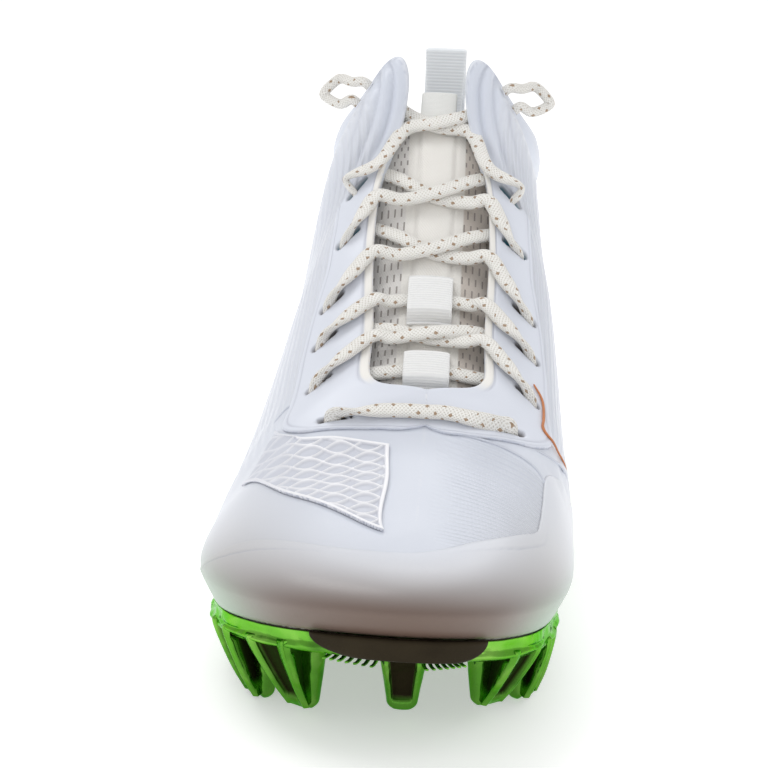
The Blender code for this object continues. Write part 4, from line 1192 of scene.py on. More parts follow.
def collar_seam(u, v):
    """Thin lines: round the collar below its padding, and down each ear beside its channels."""
    along, inside = along_of(u), ear_distance(u, v)
    ear = window(along, 0.415, 0.45, 0.53, 0.56)
    line = hump(v, 0.842, 0.004) * window(along, 0.01, 0.03, 0.38, 0.42)
    line = line + ear * 0.45 * smooth_step(v, 0.990, 0.997)
    beside = 0.45 * hump(inside, 0.0138, 0.0005)
    beside = beside + 0.30 * sum(hump(inside, channel, 0.0004) for channel in EAR_CHANNELS)
    return clamp(line + ear * smooth_step(v, 0.66, 0.80) * beside)


def build_shell():
    """Hollow wall: the outside with its relief, the rolled top edge, the lining and the foot edge."""
    work = Patchwork(*FILM_VALUES)
    u, v = mesh_of(FINE_STATIONS, steps(FINE_ROWS + 1))
    lift = creases(u, v) * smooth_fall(v, 0.985, 1.0) - (SLOT_DEPTH + 0.0006) * slot_field(u, v, 0.0006)
    lift = np.where(along_of(u) > VAMP_POINT, lift * smooth_fall(v, 0.97, 1.0), lift)
    outer = lifted(u, v, lift)
    work.grid(outer, np.stack([u, v], -1), **film_values(u, v))
    u, v = mesh_of(FINE_STATIONS, steps(LINING_ROWS))
    inner = lifted(u, v, -wall_thickness(u, v))
    inner[:, 0, 2] = outer[:, 0, 2]
    work.grid(inner, np.stack([u, v], -1), flip=True, lining=1.0)
    along = along_of(FINE_STATIONS)
    rise = unit(surface(FINE_STATIONS, 1.0) - surface(FINE_STATIONS, 0.97))
    half = (inner[:, -1] - outer[:, -1]) / 2
    turn = np.linspace(0.0, math.pi, 9)
    height = np.sin(turn) * (np.linalg.norm(half, axis=-1) * (along < VAMP_POINT - 1e-9))[:, None]
    crest = outer[:, None, -1] + half[:, None] * (1 - np.cos(turn))[:, None]
    crest = crest + rise[:, None] * height[..., None]
    lining = smooth_step(turn, 0.6, 1.4)[None] * 0.6
    uv = np.stack(np.broadcast_arrays(FINE_STATIONS[:, None], 1.0 + turn * 0.001), -1)
    work.grid(crest, uv, keep=along <= VAMP_POINT + 1e-9, lining=lining, tint=0.6)
    work.grid(np.stack([outer[:, 0], inner[:, 0]], 1), flip=True)
    work.build("upper_shell", FILM, "upper_film", "upper")


# Films on the shell


def film_sheet(work, u, v, lift, thickness, edge, extra, **values):
    """A closed film over a grid of wall places: a top rounded down at its rim, and an underside.

    edge is each point's distance inside the film's rim; the top rises over EDGE_ROUND of it.
    """
    out = normal(u, v)
    rise = thickness * np.sqrt(clamp(1.0 - (1.0 - clamp(edge / EDGE_ROUND)) ** 2))
    base = surface(u, v) + out * creases(u, v)[..., None]
    top = base + out * (lift + rise + extra)[..., None]
    under = base + out * (lift + np.minimum(extra, 0.0))[..., None]
    work.grid(top, np.stack([u, v], -1), **values)
    work.grid(under, np.stack([u, v], -1), flip=True, **values)
    for cut in (np.s_[:1], np.s_[-1:], np.s_[:, :1], np.s_[:, -1:]):
        work.grid(np.stack([top[cut].reshape(-1, 3), under[cut].reshape(-1, 3)], 1))


def rim_distance(points):
    """Distance of each grid point from the grid's ends and from its sides, along its own lines."""
    runs = [run_lengths(points, axis) for axis in (0, 1)]
    return [np.minimum(run, np.take(run, [-1], axis=axis) - run) for axis, run in enumerate(runs)]


def build_toe_film():
    """Film round the toe, from the sole's rim up to its wavy top line, with a second line below it."""
    u = np.linspace(TOE_CAP_LINE[0][0], TOE_CAP_LINE[-1][0], 240)
    level = smooth_line(TOE_CAP_LINE, u)[:, None]
    u, v = mesh_of(u, steps(60))
    v = TOE_CAP_FOOT + (level - TOE_CAP_FOOT) * v
    along, values = along_of(u), film_values(u, v)
    second = hump(level - v, 0.045 + 0.05 * hump(along, 0.93, 0.03), 0.006) * hump(along, 0.93, 0.035)
    values.update(stripe=0.0, tint=values["tint"] * 0.6, seam=0.35 * second)
    work = Patchwork(*FILM_VALUES)
    edge = np.minimum(*rim_distance(surface(u, v)))
    film_sheet(work, u, v, FILM_LIFT, TOE_FILM, edge, -0.0003 * second, **values)
    work.build("toe_cap_film", FILM, "upper_film", "toe_cap")


def smooth_line(table, u):
    """The line of a two-column table, eased between its points."""
    places, levels = column(table, 0), column(table, 1)
    plain = np.interp(u, places, levels)
    span = 0.008
    near = [np.interp(np.clip(u + offset * span, places[0], places[-1]), places, levels)
            for offset in np.linspace(-1.0, 1.0, 9)]
    ends = smooth_step(np.minimum(u - places[0], places[-1] - u), 0.0, span)
    return plain + (sum(near) / 9.0 - plain) * ends


def build_eyestay_film():
    """Film over both sides of the throat, with its slots and cream inner edges."""
    work = Patchwork("tint", "slot", "teal", "cream", "seam")
    first, last = EYESTAY_LINE[0][0], EYESTAY_LINE[-1][0]
    half = np.union1d(np.linspace(first, 0.842, 185), np.linspace(0.842, last, 34))
    half = np.union1d(half, [VAMP_POINT])
    low = smooth_line(EYESTAY_LINE, half)
    over = 1.0 + EYESTAY_OVERHANG * smooth_step(VAMP_POINT - half, 0.014, 0.036)
    for u, bottom, top in ((half, low, over), ((2.0 - half)[::-1], low[::-1], over[::-1])):
        u, v = mesh_of(u, steps(56))
        v = bottom[:, None] + (top - bottom)[:, None] * v
        points, along = surface(u, v), along_of(u)
        run = run_lengths(points, 1)
        far = run[:, -1:] - run
        throat = along < VAMP_POINT + 1e-9
        edge = np.minimum(run, np.where(throat, far, 1.0))
        edge = np.minimum(edge, rim_distance(points)[0] + (along > 0.85))
        slot = slot_field(u, v)
        strip = throat * smooth_fall(along, 0.782, 0.800)
        cream = strip * smooth_fall(far, 0.0026, 0.0034)
        line = clamp(hump(far, 0.0036, 0.00035) * strip + hump(run, 0.0022, 0.0003))
        extra = -SLOT_DEPTH * slot + 0.0003 * cream - 0.0002 * line
        film_sheet(work, u, v, FILM_LIFT, EYESTAY_FILM, edge, extra, tint=0.35 + 0.3 * (1 - cream),
                   slot=slot, teal=(along < 0.66) * slot, cream=cream, seam=line)
    work.build("eyestay_film", EYESTAY, "upper_film", "eyestay")


# Corners of the raised lattice on the lateral side of the vamp, as places on the wall
LEAF_TOP = [(0.785, 0.595), (0.824, 0.625), (0.843, 0.765), (0.860, 0.905)]
LEAF_RIGHT = [(0.860, 0.905), (0.9125, 0.912), (0.974, 0.872)]
LEAF_BOTTOM = [(0.822, 0.410), (0.882, 0.625), (0.930, 0.775), (0.974, 0.872)]
LEAF_LEFT = [(0.785, 0.595), (0.797, 0.535), (0.809, 0.473), (0.822, 0.410)]


def edge_points(table, share):
    """Places along a short list of (u, v) corners, smooth between them."""
    return np.stack([smooth_table(steps(len(table)), column(table, i), share) for i in (0, 1)], -1)


def build_lattice():
    """Raised lattice: a four-sided patch blended from its edges, with waving ribs in antiphase."""
    ease = [0.5 - 0.5 * np.cos(np.linspace(0.0, math.pi, n)) for n in (170, 200)]
    s, t = np.meshgrid(*ease, indexing="ij")
    top, bottom = edge_points(LEAF_TOP, s[:, 0]), edge_points(LEAF_BOTTOM, s[:, 0])
    left, right = edge_points(LEAF_LEFT, t[0]), edge_points(LEAF_RIGHT, t[0])
    corners = top[0], top[-1], bottom[0], bottom[-1]
    blend = top[:, None] * (1 - t)[..., None] + bottom[:, None] * t[..., None]
    blend = blend + left[None] * (1 - s)[..., None] + right[None] * s[..., None]
    for corner, weight in zip(corners, ((1 - s) * (1 - t), s * (1 - t), (1 - s) * t, s * t)):
        blend = blend - corner * weight[..., None]
    u, v = blend[..., 0], blend[..., 1]
    points = surface(u, v)
    down = points[-1, -1] - points[-1, 0]
    length = np.linalg.norm(down)
    down /= length
    back = np.cross(normal(u[-1, 0], v[-1, 0]), down)
    away = points - points[-1, 0]
    aside = -np.abs(away @ back)
    phase = (away @ down + 0.17 * aside) / length * LEAF_RIBS
    wave = 0.44 * np.sin(math.tau * aside / LEAF_CELL + 0.6)
    ribs = np.maximum(ridges(phase + wave, 7.0), ridges(phase - wave, 7.0))
    ends, sides = rim_distance(points)
    edge = np.minimum(ends, sides)
    border = 1 - smooth_step(np.minimum(ends + (s < 0.5), sides), 0.0009, 0.0015)
    fade = 0.35 + 0.65 * smooth_step(s, 0.0, 0.45)
    rib = np.maximum(ribs * smooth_step(edge, 0.0005, 0.0014) * fade, border * fade)
    work = Patchwork("rib")
    film_sheet(work, u, v, FILM_LIFT * 2.5, LEAF_FILM, edge, LEAF_RIB * rib, rib=rib)
    work.build("vamp_lattice", LATTICE, "upper_film")


def tube(work, path, radius, sides=8, squash=1.0, out=(0.0, 0.0, 1.0), **values):
    """A capped tube round a path; its short axis follows out, and its UV runs along and round."""
    path = np.asarray(path, float)
    run = unit(np.gradient(path, axis=0))
    side = unit(np.cross(run, np.broadcast_to(out, path.shape)))
    up = np.cross(side, run)
    turn = np.linspace(0.0, math.tau, sides + 1)
    wide, thick = rounded_square(turn, 0.8)
    radius = np.broadcast_to(np.asarray(radius, float), len(path))[:, None, None]
    ring = path[:, None] + radius * (side[:, None] * wide[:, None] + up[:, None] * (thick * squash)[:, None])
    length = run_lengths(path)
    uv = np.stack(np.broadcast_arrays(length[:, None] * TUBE_UV, turn[None] / math.tau), -1)
    work.grid(ring, uv, **values)
    for index, flip in ((0, False), (-1, True)):
        middle = np.repeat(path[index][None], sides + 1, axis=0)
        work.grid(np.stack([ring[index], middle], 1), flip=flip)
    return length[-1]


# Raised lines on the upper: the vamp panel's border and the eyestay's lower edge on each side
SEAM_LINES = {
    "panel_border": [(1.1475, 0.985), (1.1575, 0.850), (1.1625, 0.715), (1.1625, 0.575), (1.150, 0.535),
                     (1.1025, 0.520)],
    "yoke_border_medial": [(1.183, 0.625), (1.198, 0.560), (1.215, 0.505), (1.262, 0.300), (1.290, 0.110)],
    "yoke_border_lateral": [(0.762, 0.560), (0.760, 0.640), (0.772, 0.705), (0.8075, 0.735), (0.830, 0.790)],
}
PIPING_LINE = [(1.256, 0.760), (1.2475, 0.715), (1.226, 0.708), (1.2125, 0.700), (1.2080, 0.655),
               (1.215, 0.570), (1.2425, 0.435)]


def build_seam_lines():
    """Low welts of the film's own colour, tapering to nothing at both ends."""
    share = steps(160)
    radius = PIPING_RADIUS * np.clip(np.sin(math.pi * share) * 6.0, 0.15, 1.0)
    for name, corners in SEAM_LINES.items():
        u, v = edge_points(corners, share).T
        work = Patchwork("tint", "seam")
        tube(work, lifted(u, clamp(v), 0.0001), radius, 8, 0.8, normal(u, clamp(v)), tint=0.7, seam=0.25)
        work.build(name, FILM, "upper_film")


def build_piping():
    """Thin orange piping that follows the medial seam between the eyestay and the side."""
    share = steps(90)
    u, v = edge_points(PIPING_LINE, share).T
    lift = PIPING_RADIUS * 0.7 + (EYESTAY_FILM + FILM_LIFT) * smooth_fall(share, 0.70, 0.86)
    taper = PIPING_RADIUS * (0.35 + 0.65 * np.sin(math.pi * clamp(share * 0.94 + 0.05)) ** 0.5)
    work = Patchwork()
    tube(work, lifted(u, v, lift), taper, 8, 0.8, normal(u, v))
    work.build("seam_piping", PIPING, "upper_film")


# Tongue and webbing


def bulged(count):
    """Shares from -1 to 1, closer together at both ends."""
    return np.sin(np.linspace(-math.pi / 2, math.pi / 2, count))


def build_tongue_pad():
    """Padded tongue: its middle band stands a little proud between two shallow grooves."""
    share = steps(170)
    sg, ag = mesh_of(share, bulged(91))
    thick = TONGUE_THICKNESS * (0.30 + 0.70 * np.sqrt(clamp(1 - ag**4)))
    centre, _, out = tongue_frame(share)
    x = ag * (tongue_value(2, share) * TONGUE_WIDTH / 2)[:, None]
    band, groove = smooth_fall(np.abs(x), 0.0052, 0.0062), hump(np.abs(x), 0.0058, 0.0006)
    bulge = 0.0005 * band - 0.0006 * groove + 0.0003 * np.sin(sg * 47.0) * hump(ag, 0.0, 0.6)
    base = centre[:, None] + SIDEWAYS * x[..., None]
    front, rear = (base + out[:, None] * (lift - TONGUE_CURL * x**2)[..., None] for lift in (bulge, -thick))
    edge = (front + rear) / 2
    for grid in (front, rear):
        for end in (0, -1):
            grid[:, end], grid[end] = edge[:, end], edge[end]
    uv = np.stack([0.5 + x / TONGUE_WIDTH, sg], -1)
    work = Patchwork().grid(front, uv).grid(rear, uv, flip=True)
    work.build("tongue_pad", MESH, "tongue_mesh", "tongue")


def strap(rows, thickness, samples=21):
    """Webbing through a grid of three columns: straight across, with rounded edges and ends."""
    rows = np.asarray(rows, float)
    spread = bulged(samples)
    left, middle, right = rows[:, 0], rows[:, 1], rows[:, 2]
    across = middle[:, None] + (right - left)[:, None] / 2 * spread[None, :, None]
    bow = (left + right) / 2 - middle
    across = across + bow[:, None] * (spread**2)[None, :, None]
    out = unit(np.cross(np.gradient(across, axis=0), np.gradient(across, axis=1)))
    half = thickness / 2 * np.sqrt(clamp(1 - spread**8))[None] * np.ones((len(rows), 1))
    half[0] = half[-1] = 0.0
    uv = np.stack(np.broadcast_arrays(run_lengths(middle)[:, None], (0.5 + spread / 2)[None]), -1)
    lift = out * half[..., None]
    return Patchwork().grid(across + lift, uv).grid(across - lift, uv, flip=True)


def finer(rows, count):
    """A strap's rows, resampled along a smooth curve through them."""
    rows = np.asarray(rows, float)
    return np.stack([curve_through(rows[:, i], count) for i in range(rows.shape[1])], 1)


def build_keeper_straps():
    """The two bridges on the tongue, each with its ends turned down to be sewn."""
    place = np.linspace(-1.0, 1.0, 90)
    rise = smooth_step(1.0 - np.abs(place), 0.10, 0.42) * (STRAND_THICKNESS + 0.0015)
    lift = 0.0010 + rise - 0.0003 * hump(np.abs(place), 0.86, 0.05)
    for which, back in (("lower", INNER_BAR), ("upper", EYELETS[2][2])):
        share = throat_share(back) + place * KEEPER_REACH
        across = np.linspace(-0.5, 0.5, 3) * KEEPER_WIDTH
        grid = np.stack([tongue_point(share, np.full(len(share), x), lift) for x in across], 1)
        work = strap(grid, KEEPER_THICKNESS)
        work.build(f"keeper_strap_{which}", KEEPER, "webbing", f"lace_keeper_{which}")


def folded(peak, wide, high):
    """Five points over the top of a folded strap; wide and high are the fold's two half axes."""
    return [peak + wide * math.cos(turn) + high * math.sin(turn) for turn in np.linspace(0.0, math.pi, 5)]


def build_tongue_loop():
    """The folded tab at the tongue's top, with a bare label on its front."""
    off = 0.0008 + KEEPER_THICKNESS / 2
    _, run, out = (vector[0] for vector in tongue_frame(1.0))
    rows = []
    for x in np.linspace(-0.5, 0.5, 3) * TONGUE_TAB_WIDTH:
        front = tongue_point(np.linspace(0.925, 1.0, 3), np.full(3, x), off)
        rear = tongue_point(np.linspace(1.0, 0.93, 3), np.full(3, x), -TONGUE_THICKNESS - off)
        peak = tongue_point(1.0, np.array([x]), -TONGUE_THICKNESS / 2)[0] + run * TONGUE_TAB_HEIGHT
        turn = folded(peak, out * KEEPER_THICKNESS * 1.4, run * KEEPER_THICKNESS)
        rows.append(np.concatenate([front, turn, rear]))
    work = strap(finer(np.stack(rows, 1), 110), KEEPER_THICKNESS)
    work.build("tongue_loop", LABEL, "webbing", "tongue_tab")


def build_heel_loop():
    """Webbing up the heel outside, over in a tall loop, and down inside."""
    off = 0.0004 + PULL_TAB_THICKNESS / 2
    crown = lifted(0.0, 1.0, -COLLAR_PADDING / 2) + np.array([0.0, 0.0, PULL_TAB_HEIGHT])
    levels = np.linspace(0.55, 1.0, 6)
    wide, high = np.array([0.0, PULL_TAB_THICKNESS * 1.6, 0.0]), np.array([0.0, 0.0, PULL_TAB_THICKNESS])
    rows = []
    for x in np.linspace(-0.5, 0.5, 3) * PULL_TAB_WIDTH:
        u = np.mod([np.interp(x, surface(HEEL_FAN, level)[:, 0], HEEL_FAN) for level in levels], 2.0)
        down, u_down = levels[::-1][:3], u[::-1][:3]
        inside = lifted(u_down, down, -wall_thickness(u_down, down) - off)
        turn = folded(crown + SIDEWAYS * x, wide, high)
        rows.append(np.concatenate([lifted(u, levels, off), turn, inside]))
    rows = finer(np.stack(rows, 1), 170)
    strap(rows, PULL_TAB_THICKNESS).build("heel_loop", HEEL_WEB, "webbing", "heel_pull_tab")


# Laces


# Stations of a strand over the tongue. across: share of half the throat, its own side positive.
# advance: share of the shoe's length towards the heel. height: metres over the tongue.
SPAN = [
    # across, advance, height of the strand that crosses over, height of the one under it
    (0.52, -0.0026, 0.0016, 0.0014),
    (0.00, 0.0000, 0.0024, 0.0000),
    (-0.55, 0.0100, 0.0014, 0.0006),
    (-0.88, 0.0165, 0.0002, 0.0001),
    (-1.06, 0.0210, -0.0006, -0.0006),
]
KEPT_SPAN = [
    # across, advance, height of either strand
    (0.62, -0.0030, 0.0012, 0.0012),
    (0.30, -0.0010, 0.0002, 0.0002),
    (0.00, 0.0000, 0.0000, 0.0000),
    (-0.22, 0.0000, 0.0000, 0.0000),
]


def strand_path(row, side, over):
    """From inside a slot, over the eyestay's edge, across the tongue and under the other side."""
    along, up, crossing, _ = EYELETS[row]
    top_row = row == len(EYELETS) - 1
    first_u, sign = (along, 2.0 - along)[side == "medial"], SIGNS[side]
    centre, run, _ = slot_axes(row, first_u, up)
    out = normal(first_u, up)
    thick = STRAND_THICKNESS / 2
    stay = EYESTAY_FILM + FILM_LIFT + thick
    points = [centre - out * 0.0040 - run * 0.0022, centre - out * 0.0004 - run * 0.0016]
    outs = [out, out]
    if top_row:
        swing = first_u + 0.020 * sign, up - 0.060
        points.append(lifted(*swing, stay + 0.0024))
        outs.append(normal(*swing))
    else:
        points.append(centre + out * (stay + 0.0001) + run * 0.0022)
        outs.append(out)
    start, end = centre[1], float(lengthwise(crossing - (0.040 if top_row else 0.008)))
    bow = 0.0022 if top_row else 0.0008
    for share, v in ((0.55, up + (OVER_EDGE - up) * 0.55), (1.0, OVER_EDGE)):
        u = crosswise(start + (end - start) * share, side, [v])[0]
        out = normal(u, min(v, 1.0))
        rise = stay + bow * share * (1.4 - share)
        points.append(surface(u, v) + out * rise + np.array([0.0, 0.0, 0.0004]))
        outs.append(out)
    span = KEPT_SPAN if row == 2 else SPAN[:-2] if top_row else SPAN
    for across, advance, *heights in span:
        share = throat_share(crossing + advance * (1.6 if row > 2 else 1.0))
        x = np.array([across * sign * THROAT_WIDTH / 2])
        points.append(tongue_point(share, x, 0.0008 + thick + heights[0 if over else 1])[0])
        outs.append(tongue_frame(share)[2][0])
    if top_row:
        tail = (2.0 - TAIL_PLACE) if side == "lateral" else TAIL_PLACE, 0.90
        points.append(lifted(*tail, -wall_thickness(*tail) - 0.0012))
        outs.append(tongue_frame(0.9)[2][0])
    path, outs = curve_through(points, STRAND_SAMPLES), curve_through(outs, STRAND_SAMPLES)
    return path, twisted(path, outs, sign)


def twisted(path, outs, sign, both=False):
    """Short axes of a lace that stands on edge in its slot and lies flat a little further on."""
    length = run_lengths(path)
    near = smooth_fall(length, 0.005, 0.019)
    if both:
        near = near - smooth_fall(length[-1] - length, 0.005, 0.019)
    angle = (1.20 * near * sign)[:, None]
    aside = unit(np.cross(np.gradient(path, axis=0), outs))
    return outs * np.cos(angle) + aside * np.sin(angle)


def strand(name, path, out, *replaced):
    """One flat braided strand along a path."""
    work = Patchwork()
    tube(work, path, STRAND_WIDTH / 2, 16, STRAND_THICKNESS / STRAND_WIDTH, out)
    work.build(name, LACE, "lace", *replaced)


def build_front_bar():
    """The straight bar in front of the throat, from one slot over the ridge to the other."""
    along, up = EYELETS[0][:2]
    v = np.linspace(up, 1.0, 12)
    starts = surface(np.array([along, 2.0 - along]), np.full(2, up))[:, 1]
    middle, share = starts.mean() + BAR_ARCH, smooth_step(v, up, 0.97)
    lines = [zip(start + (middle - start) * share, v) for start in starts]
    sides = [np.array([crosswise(y, side, [level])[0] for y, level in line])
             for side, line in zip(SIGNS, lines)]
    u = np.concatenate([sides[0], sides[1][::-1][1:]])
    v = np.concatenate([v, v[::-1][1:]])
    out = normal(u, v)
    path = lifted(u, v, EYESTAY_FILM + FILM_LIFT + STRAND_THICKNESS / 2 + 0.0003)
    away = unit(path[[0, -1]] - path[[1, -2]]) * 0.0012
    ends = path[[0, -1]] - out[[0, -1]] * 0.0042 + away
    path = curve_through(np.concatenate([ends[:1], path, ends[1:]]), 150)
    out = curve_through(np.concatenate([out[:1], out, out[-1:]]), 150)
    strand("lace_front_bar", path, twisted(path, out, -1.0, both=True), "lace_bar")


def build_laces():
    """Flat braided strands: the two straight bars, and two strands for each row above."""
    build_front_bar()
    across = np.linspace(-0.52, 0.52, 15) * THROAT_WIDTH
    share = throat_share(INNER_BAR)
    inner = tongue_point(share, across, 0.0010 + STRAND_THICKNESS / 2 + 0.0005 * np.cos(across * 300.0))
    strand("lace_inner_bar", curve_through(inner, STRAND_SAMPLES), tongue_frame(share)[2], "lace_bar_inner")
    for row in range(1, len(EYELETS)):
        path, out = strand_path(row, "lateral", True)
        strand(f"lace_strand_{row}_lateral", path, out, f"lace_crossing_{row}")
        strand(f"lace_strand_{row}_medial", *strand_path(row, "medial", False))


def build_loops():
    """The two free loops beside the ears."""
    for side in SIGNS:
        path = curve_through(loop_route(side), 61)
        work = Patchwork()
        length = tube(work, path, LOOP_WIDTH / 2, 16, 0.86, (0.0, 1.0, 0.0))
        piece = work.build(f"loop_cord_{side}", LACE, "lace", f"lace_loop_{side}")


# Footbed and plate

LENS_COLUMNS = 120


def fill_grid(ring, u, rows):
    """From a closed ring of points in to its middle line, at the same place along the shoe."""
    middle = ring.copy()
    sides = [half[np.argsort(half[:, 1])] for half in (ring[u <= 1.0], ring[u >= 1.0])]
    middle[:, 0] = sum(np.interp(ring[:, 1], half[:, 1], half[:, 0]) for half in sides) / 2
    return ring[:, None] + (middle - ring)[:, None] * steps(rows)[None, :, None]


def build_footbed():
    """Footbed with a cupped edge and a shallow dish under the heel."""
    u = FINE_STATIONS[::2]
    low = surface(u, np.zeros(len(u))) - outward(u) * (UPPER_WALL + 0.0004)
    low[:, 2] = feather_height(outline_back(u)) + 0.0004
    rise = level_at(u, np.full(len(u), INSOLE_THICKNESS))
    top = lifted(u, rise, -wall_thickness(u, rise) - 0.0003)
    top[:, 2] = low[:, 2] + INSOLE_THICKNESS
    fill = fill_grid(top, u, 26)
    away = np.linalg.norm((fill - top[:, None])[..., :2], axis=-1)
    fill[..., 2] -= 0.0012 * smooth_step(away, 0.002, 0.012) * smooth_step(back_of(fill), 0.5, 0.8)
    fill[..., 2] -= 0.0003 * smooth_step(away, 0.0, 0.003)
    work = Patchwork().grid(fill).grid(np.stack([low, (low + top) / 2, fill[:, 0]], 1))
    work.grid(fill_grid(low, u, 4), flip=True)
    work.build("footbed", FOAM, "insole_foam", "insole")


def ripple(u, v):
    """Flowing flutes over the plate's side, strongest beside the studs."""
    along = along_of(u)
    front = smooth_step(along, 0.55, 0.65)
    wave = np.sin(along * 150.0 + v * 26.0) * 0.5 + np.sin(along * 63.0 - v * 40.0)
    return 0.00048 * wave * front * (1 - hump(along, 1.0, 0.03))


def build_plate_shell():
    """The plated sole: inside lip, fluted side, rounded lower edge and its underside."""
    u, rows = FINE_STATIONS, steps(15)
    ug, vg = mesh_of(u, rows)
    vg = rim_level(u)[:, None] * vg
    points, out = surface(ug, vg), normal(ug, vg)
    inner = points + out * CLEARANCE
    inner[:, 0, 2] = feather_height(outline_back(u)) - CLEARANCE
    swell = ripple(ug, vg) * np.sin(math.pi * clamp(rows * 0.9 + 0.1))
    outer = points + out * (CLEARANCE + RIM_THICKNESS * (1.0 - 0.78 * rows) + swell)[..., None]
    outer[:, -1] = inner[:, -1] = points[:, -1] + out[:, -1] * 0.0006
    edge, aside = rim_lines(u)[1], outward(u)[:, None]
    turn = steps(12)[None, :, None]
    bulge = 0.0011 + ripple(ug[:, :1], np.linspace(0.0, 0.12, 12)[None])[..., None]
    skirt = outer[:, :1] * (1 - turn) + edge[:, None] * turn + aside * bulge * np.sin(math.pi * turn)
    floor_edge = inner[:, 0] - outward(u) * UPPER_WALL * 0.5
    bottom = fill_grid(edge, u, 34)
    away = np.linalg.norm((bottom - bottom[:, :1])[..., :2], axis=-1)
    share = 0.5 - 0.5 * clamp(away / np.maximum(away[:, -1:], 1e-4))
    waist = window(back_of(bottom), 0.34, 0.46, 0.66, 0.78)
    bottom[..., 2] -= SHANK_RIB_HEIGHT * waist * hump(share, 0.0, 0.20)
    bottom[..., 2] += 0.0010 * smooth_step(away, 0.003, 0.008) * (1 - waist)
    uv = np.stack([ug, vg], -1)
    # low: painted shade for the chrome, darker down the side, inside and under the plate
    work = Patchwork("dark", "low").grid(outer, uv, low=(1 - rows[None]) * 0.25)
    work.grid(inner, uv, flip=True, low=0.5).grid(skirt, low=0.35)
    work.grid(bottom, low=0.4 + 0.6 * clamp(away / 0.012))
    work.grid(fill_grid(floor_edge, u, 4), flip=True, low=1.0)
    work.grid(np.stack([inner[:, 0], floor_edge], 1), low=1.0)
    work.build("plate_shell", CHROME, "green_chrome", "outsole_plate")


def build_lens():
    """Dark lens under the toe: flat along the top, a long arc below, gently bulged."""
    u = np.linspace(*TOE_INSERT_SPAN, LENS_COLUMNS) - 0.0002
    depth = np.sqrt(clamp(1.0 - np.abs(np.linspace(-1.0, 1.0, LENS_COLUMNS)) ** 2.2))
    lip, edge = rim_lines(u)
    rise = rim_level(u)
    brim = surface(u, rise + 0.014) + normal(u, rise) * 0.0010
    under = edge - outward(u) * 0.0012 - np.array([0.0, 0.0, 0.0004])
    knots = np.stack([brim, lip, edge, under])
    place = run_lengths(knots)
    place = place / place[-1:]
    level = steps(30)
    fall = depth[None] * level[:, None]
    base = knots[0]
    for i in range(3):
        part = clamp((fall - place[i]) / (place[i + 1] - place[i]))[..., None]
        base = base + part * (knots[i + 1] - knots[i])
    base = np.transpose(base, (1, 0, 2))
    rim = clamp(np.minimum(level, 1 - level) * 5.0)
    bulge = 0.0011 * np.sqrt(clamp(1 - (1 - rim) ** 2)) * depth[:, None] ** 0.5
    near = base + outward(u)[:, None] * 0.00045
    far = near + outward(u)[:, None] * bulge[..., None]
    far[:, :1], far[:, -1:] = near[:, :1], near[:, -1:]
    Patchwork().grid(far).grid(near, flip=True).build("toe_lens", DARK, "dark_plate", "toe_insert")


def build_teeth():
    """Small slanting teeth under the lens: tapered rods fanned out on both sides of the toe stud."""
    work = Patchwork("dark", "low")
    share = steps(7)[:, None]
    for sign in SIGNS.values():
        for step in range(TEETH):
            u = np.array([1.0 + sign * (TEETH_START + TEETH_PITCH * step)])
            edge, out = rim_lines(u)[1][0], outward(u)[0]
            path = edge - out * 0.0050 * (1 - share) + SIDEWAYS * sign * 0.0016 * share + out * 0.0002
            path[:, 2] += 0.0006 - (0.0030 - 0.0002 * step) * np.sin(share[:, 0] * math.pi * 0.62)
            tube(work, path, 0.00075 - 0.00045 * share[:, 0], sides=6, dark=0.35 * (step % 2), low=0.5)
    work.build("toe_teeth", CHROME, "green_chrome")


# Studs

BLADE_ROWS = 34
BLADE_POINTS = 73
STUD_SINK = 0.0004
APRON_ROWS = 46
APRON_COLUMNS = 61


def stud_frame(back, across, lift, turn):
    """Centre on the plate, direction faced, direction along the blade and the tip's height."""
    middle = (plate_edge(back, -1) + plate_edge(back, 1)) / 2
    edge = plate_edge(back, across)
    centre = np.array([middle + (edge - middle) * abs(across), lengthwise(back), 0.0])
    angle = math.radians(turn)
    facing = np.array([math.sin(angle), -math.cos(angle), 0.0])
    heading = np.array([math.cos(angle), math.sin(angle), 0.0])
    return centre, facing, heading, lift * TOE_STUD_LIFT


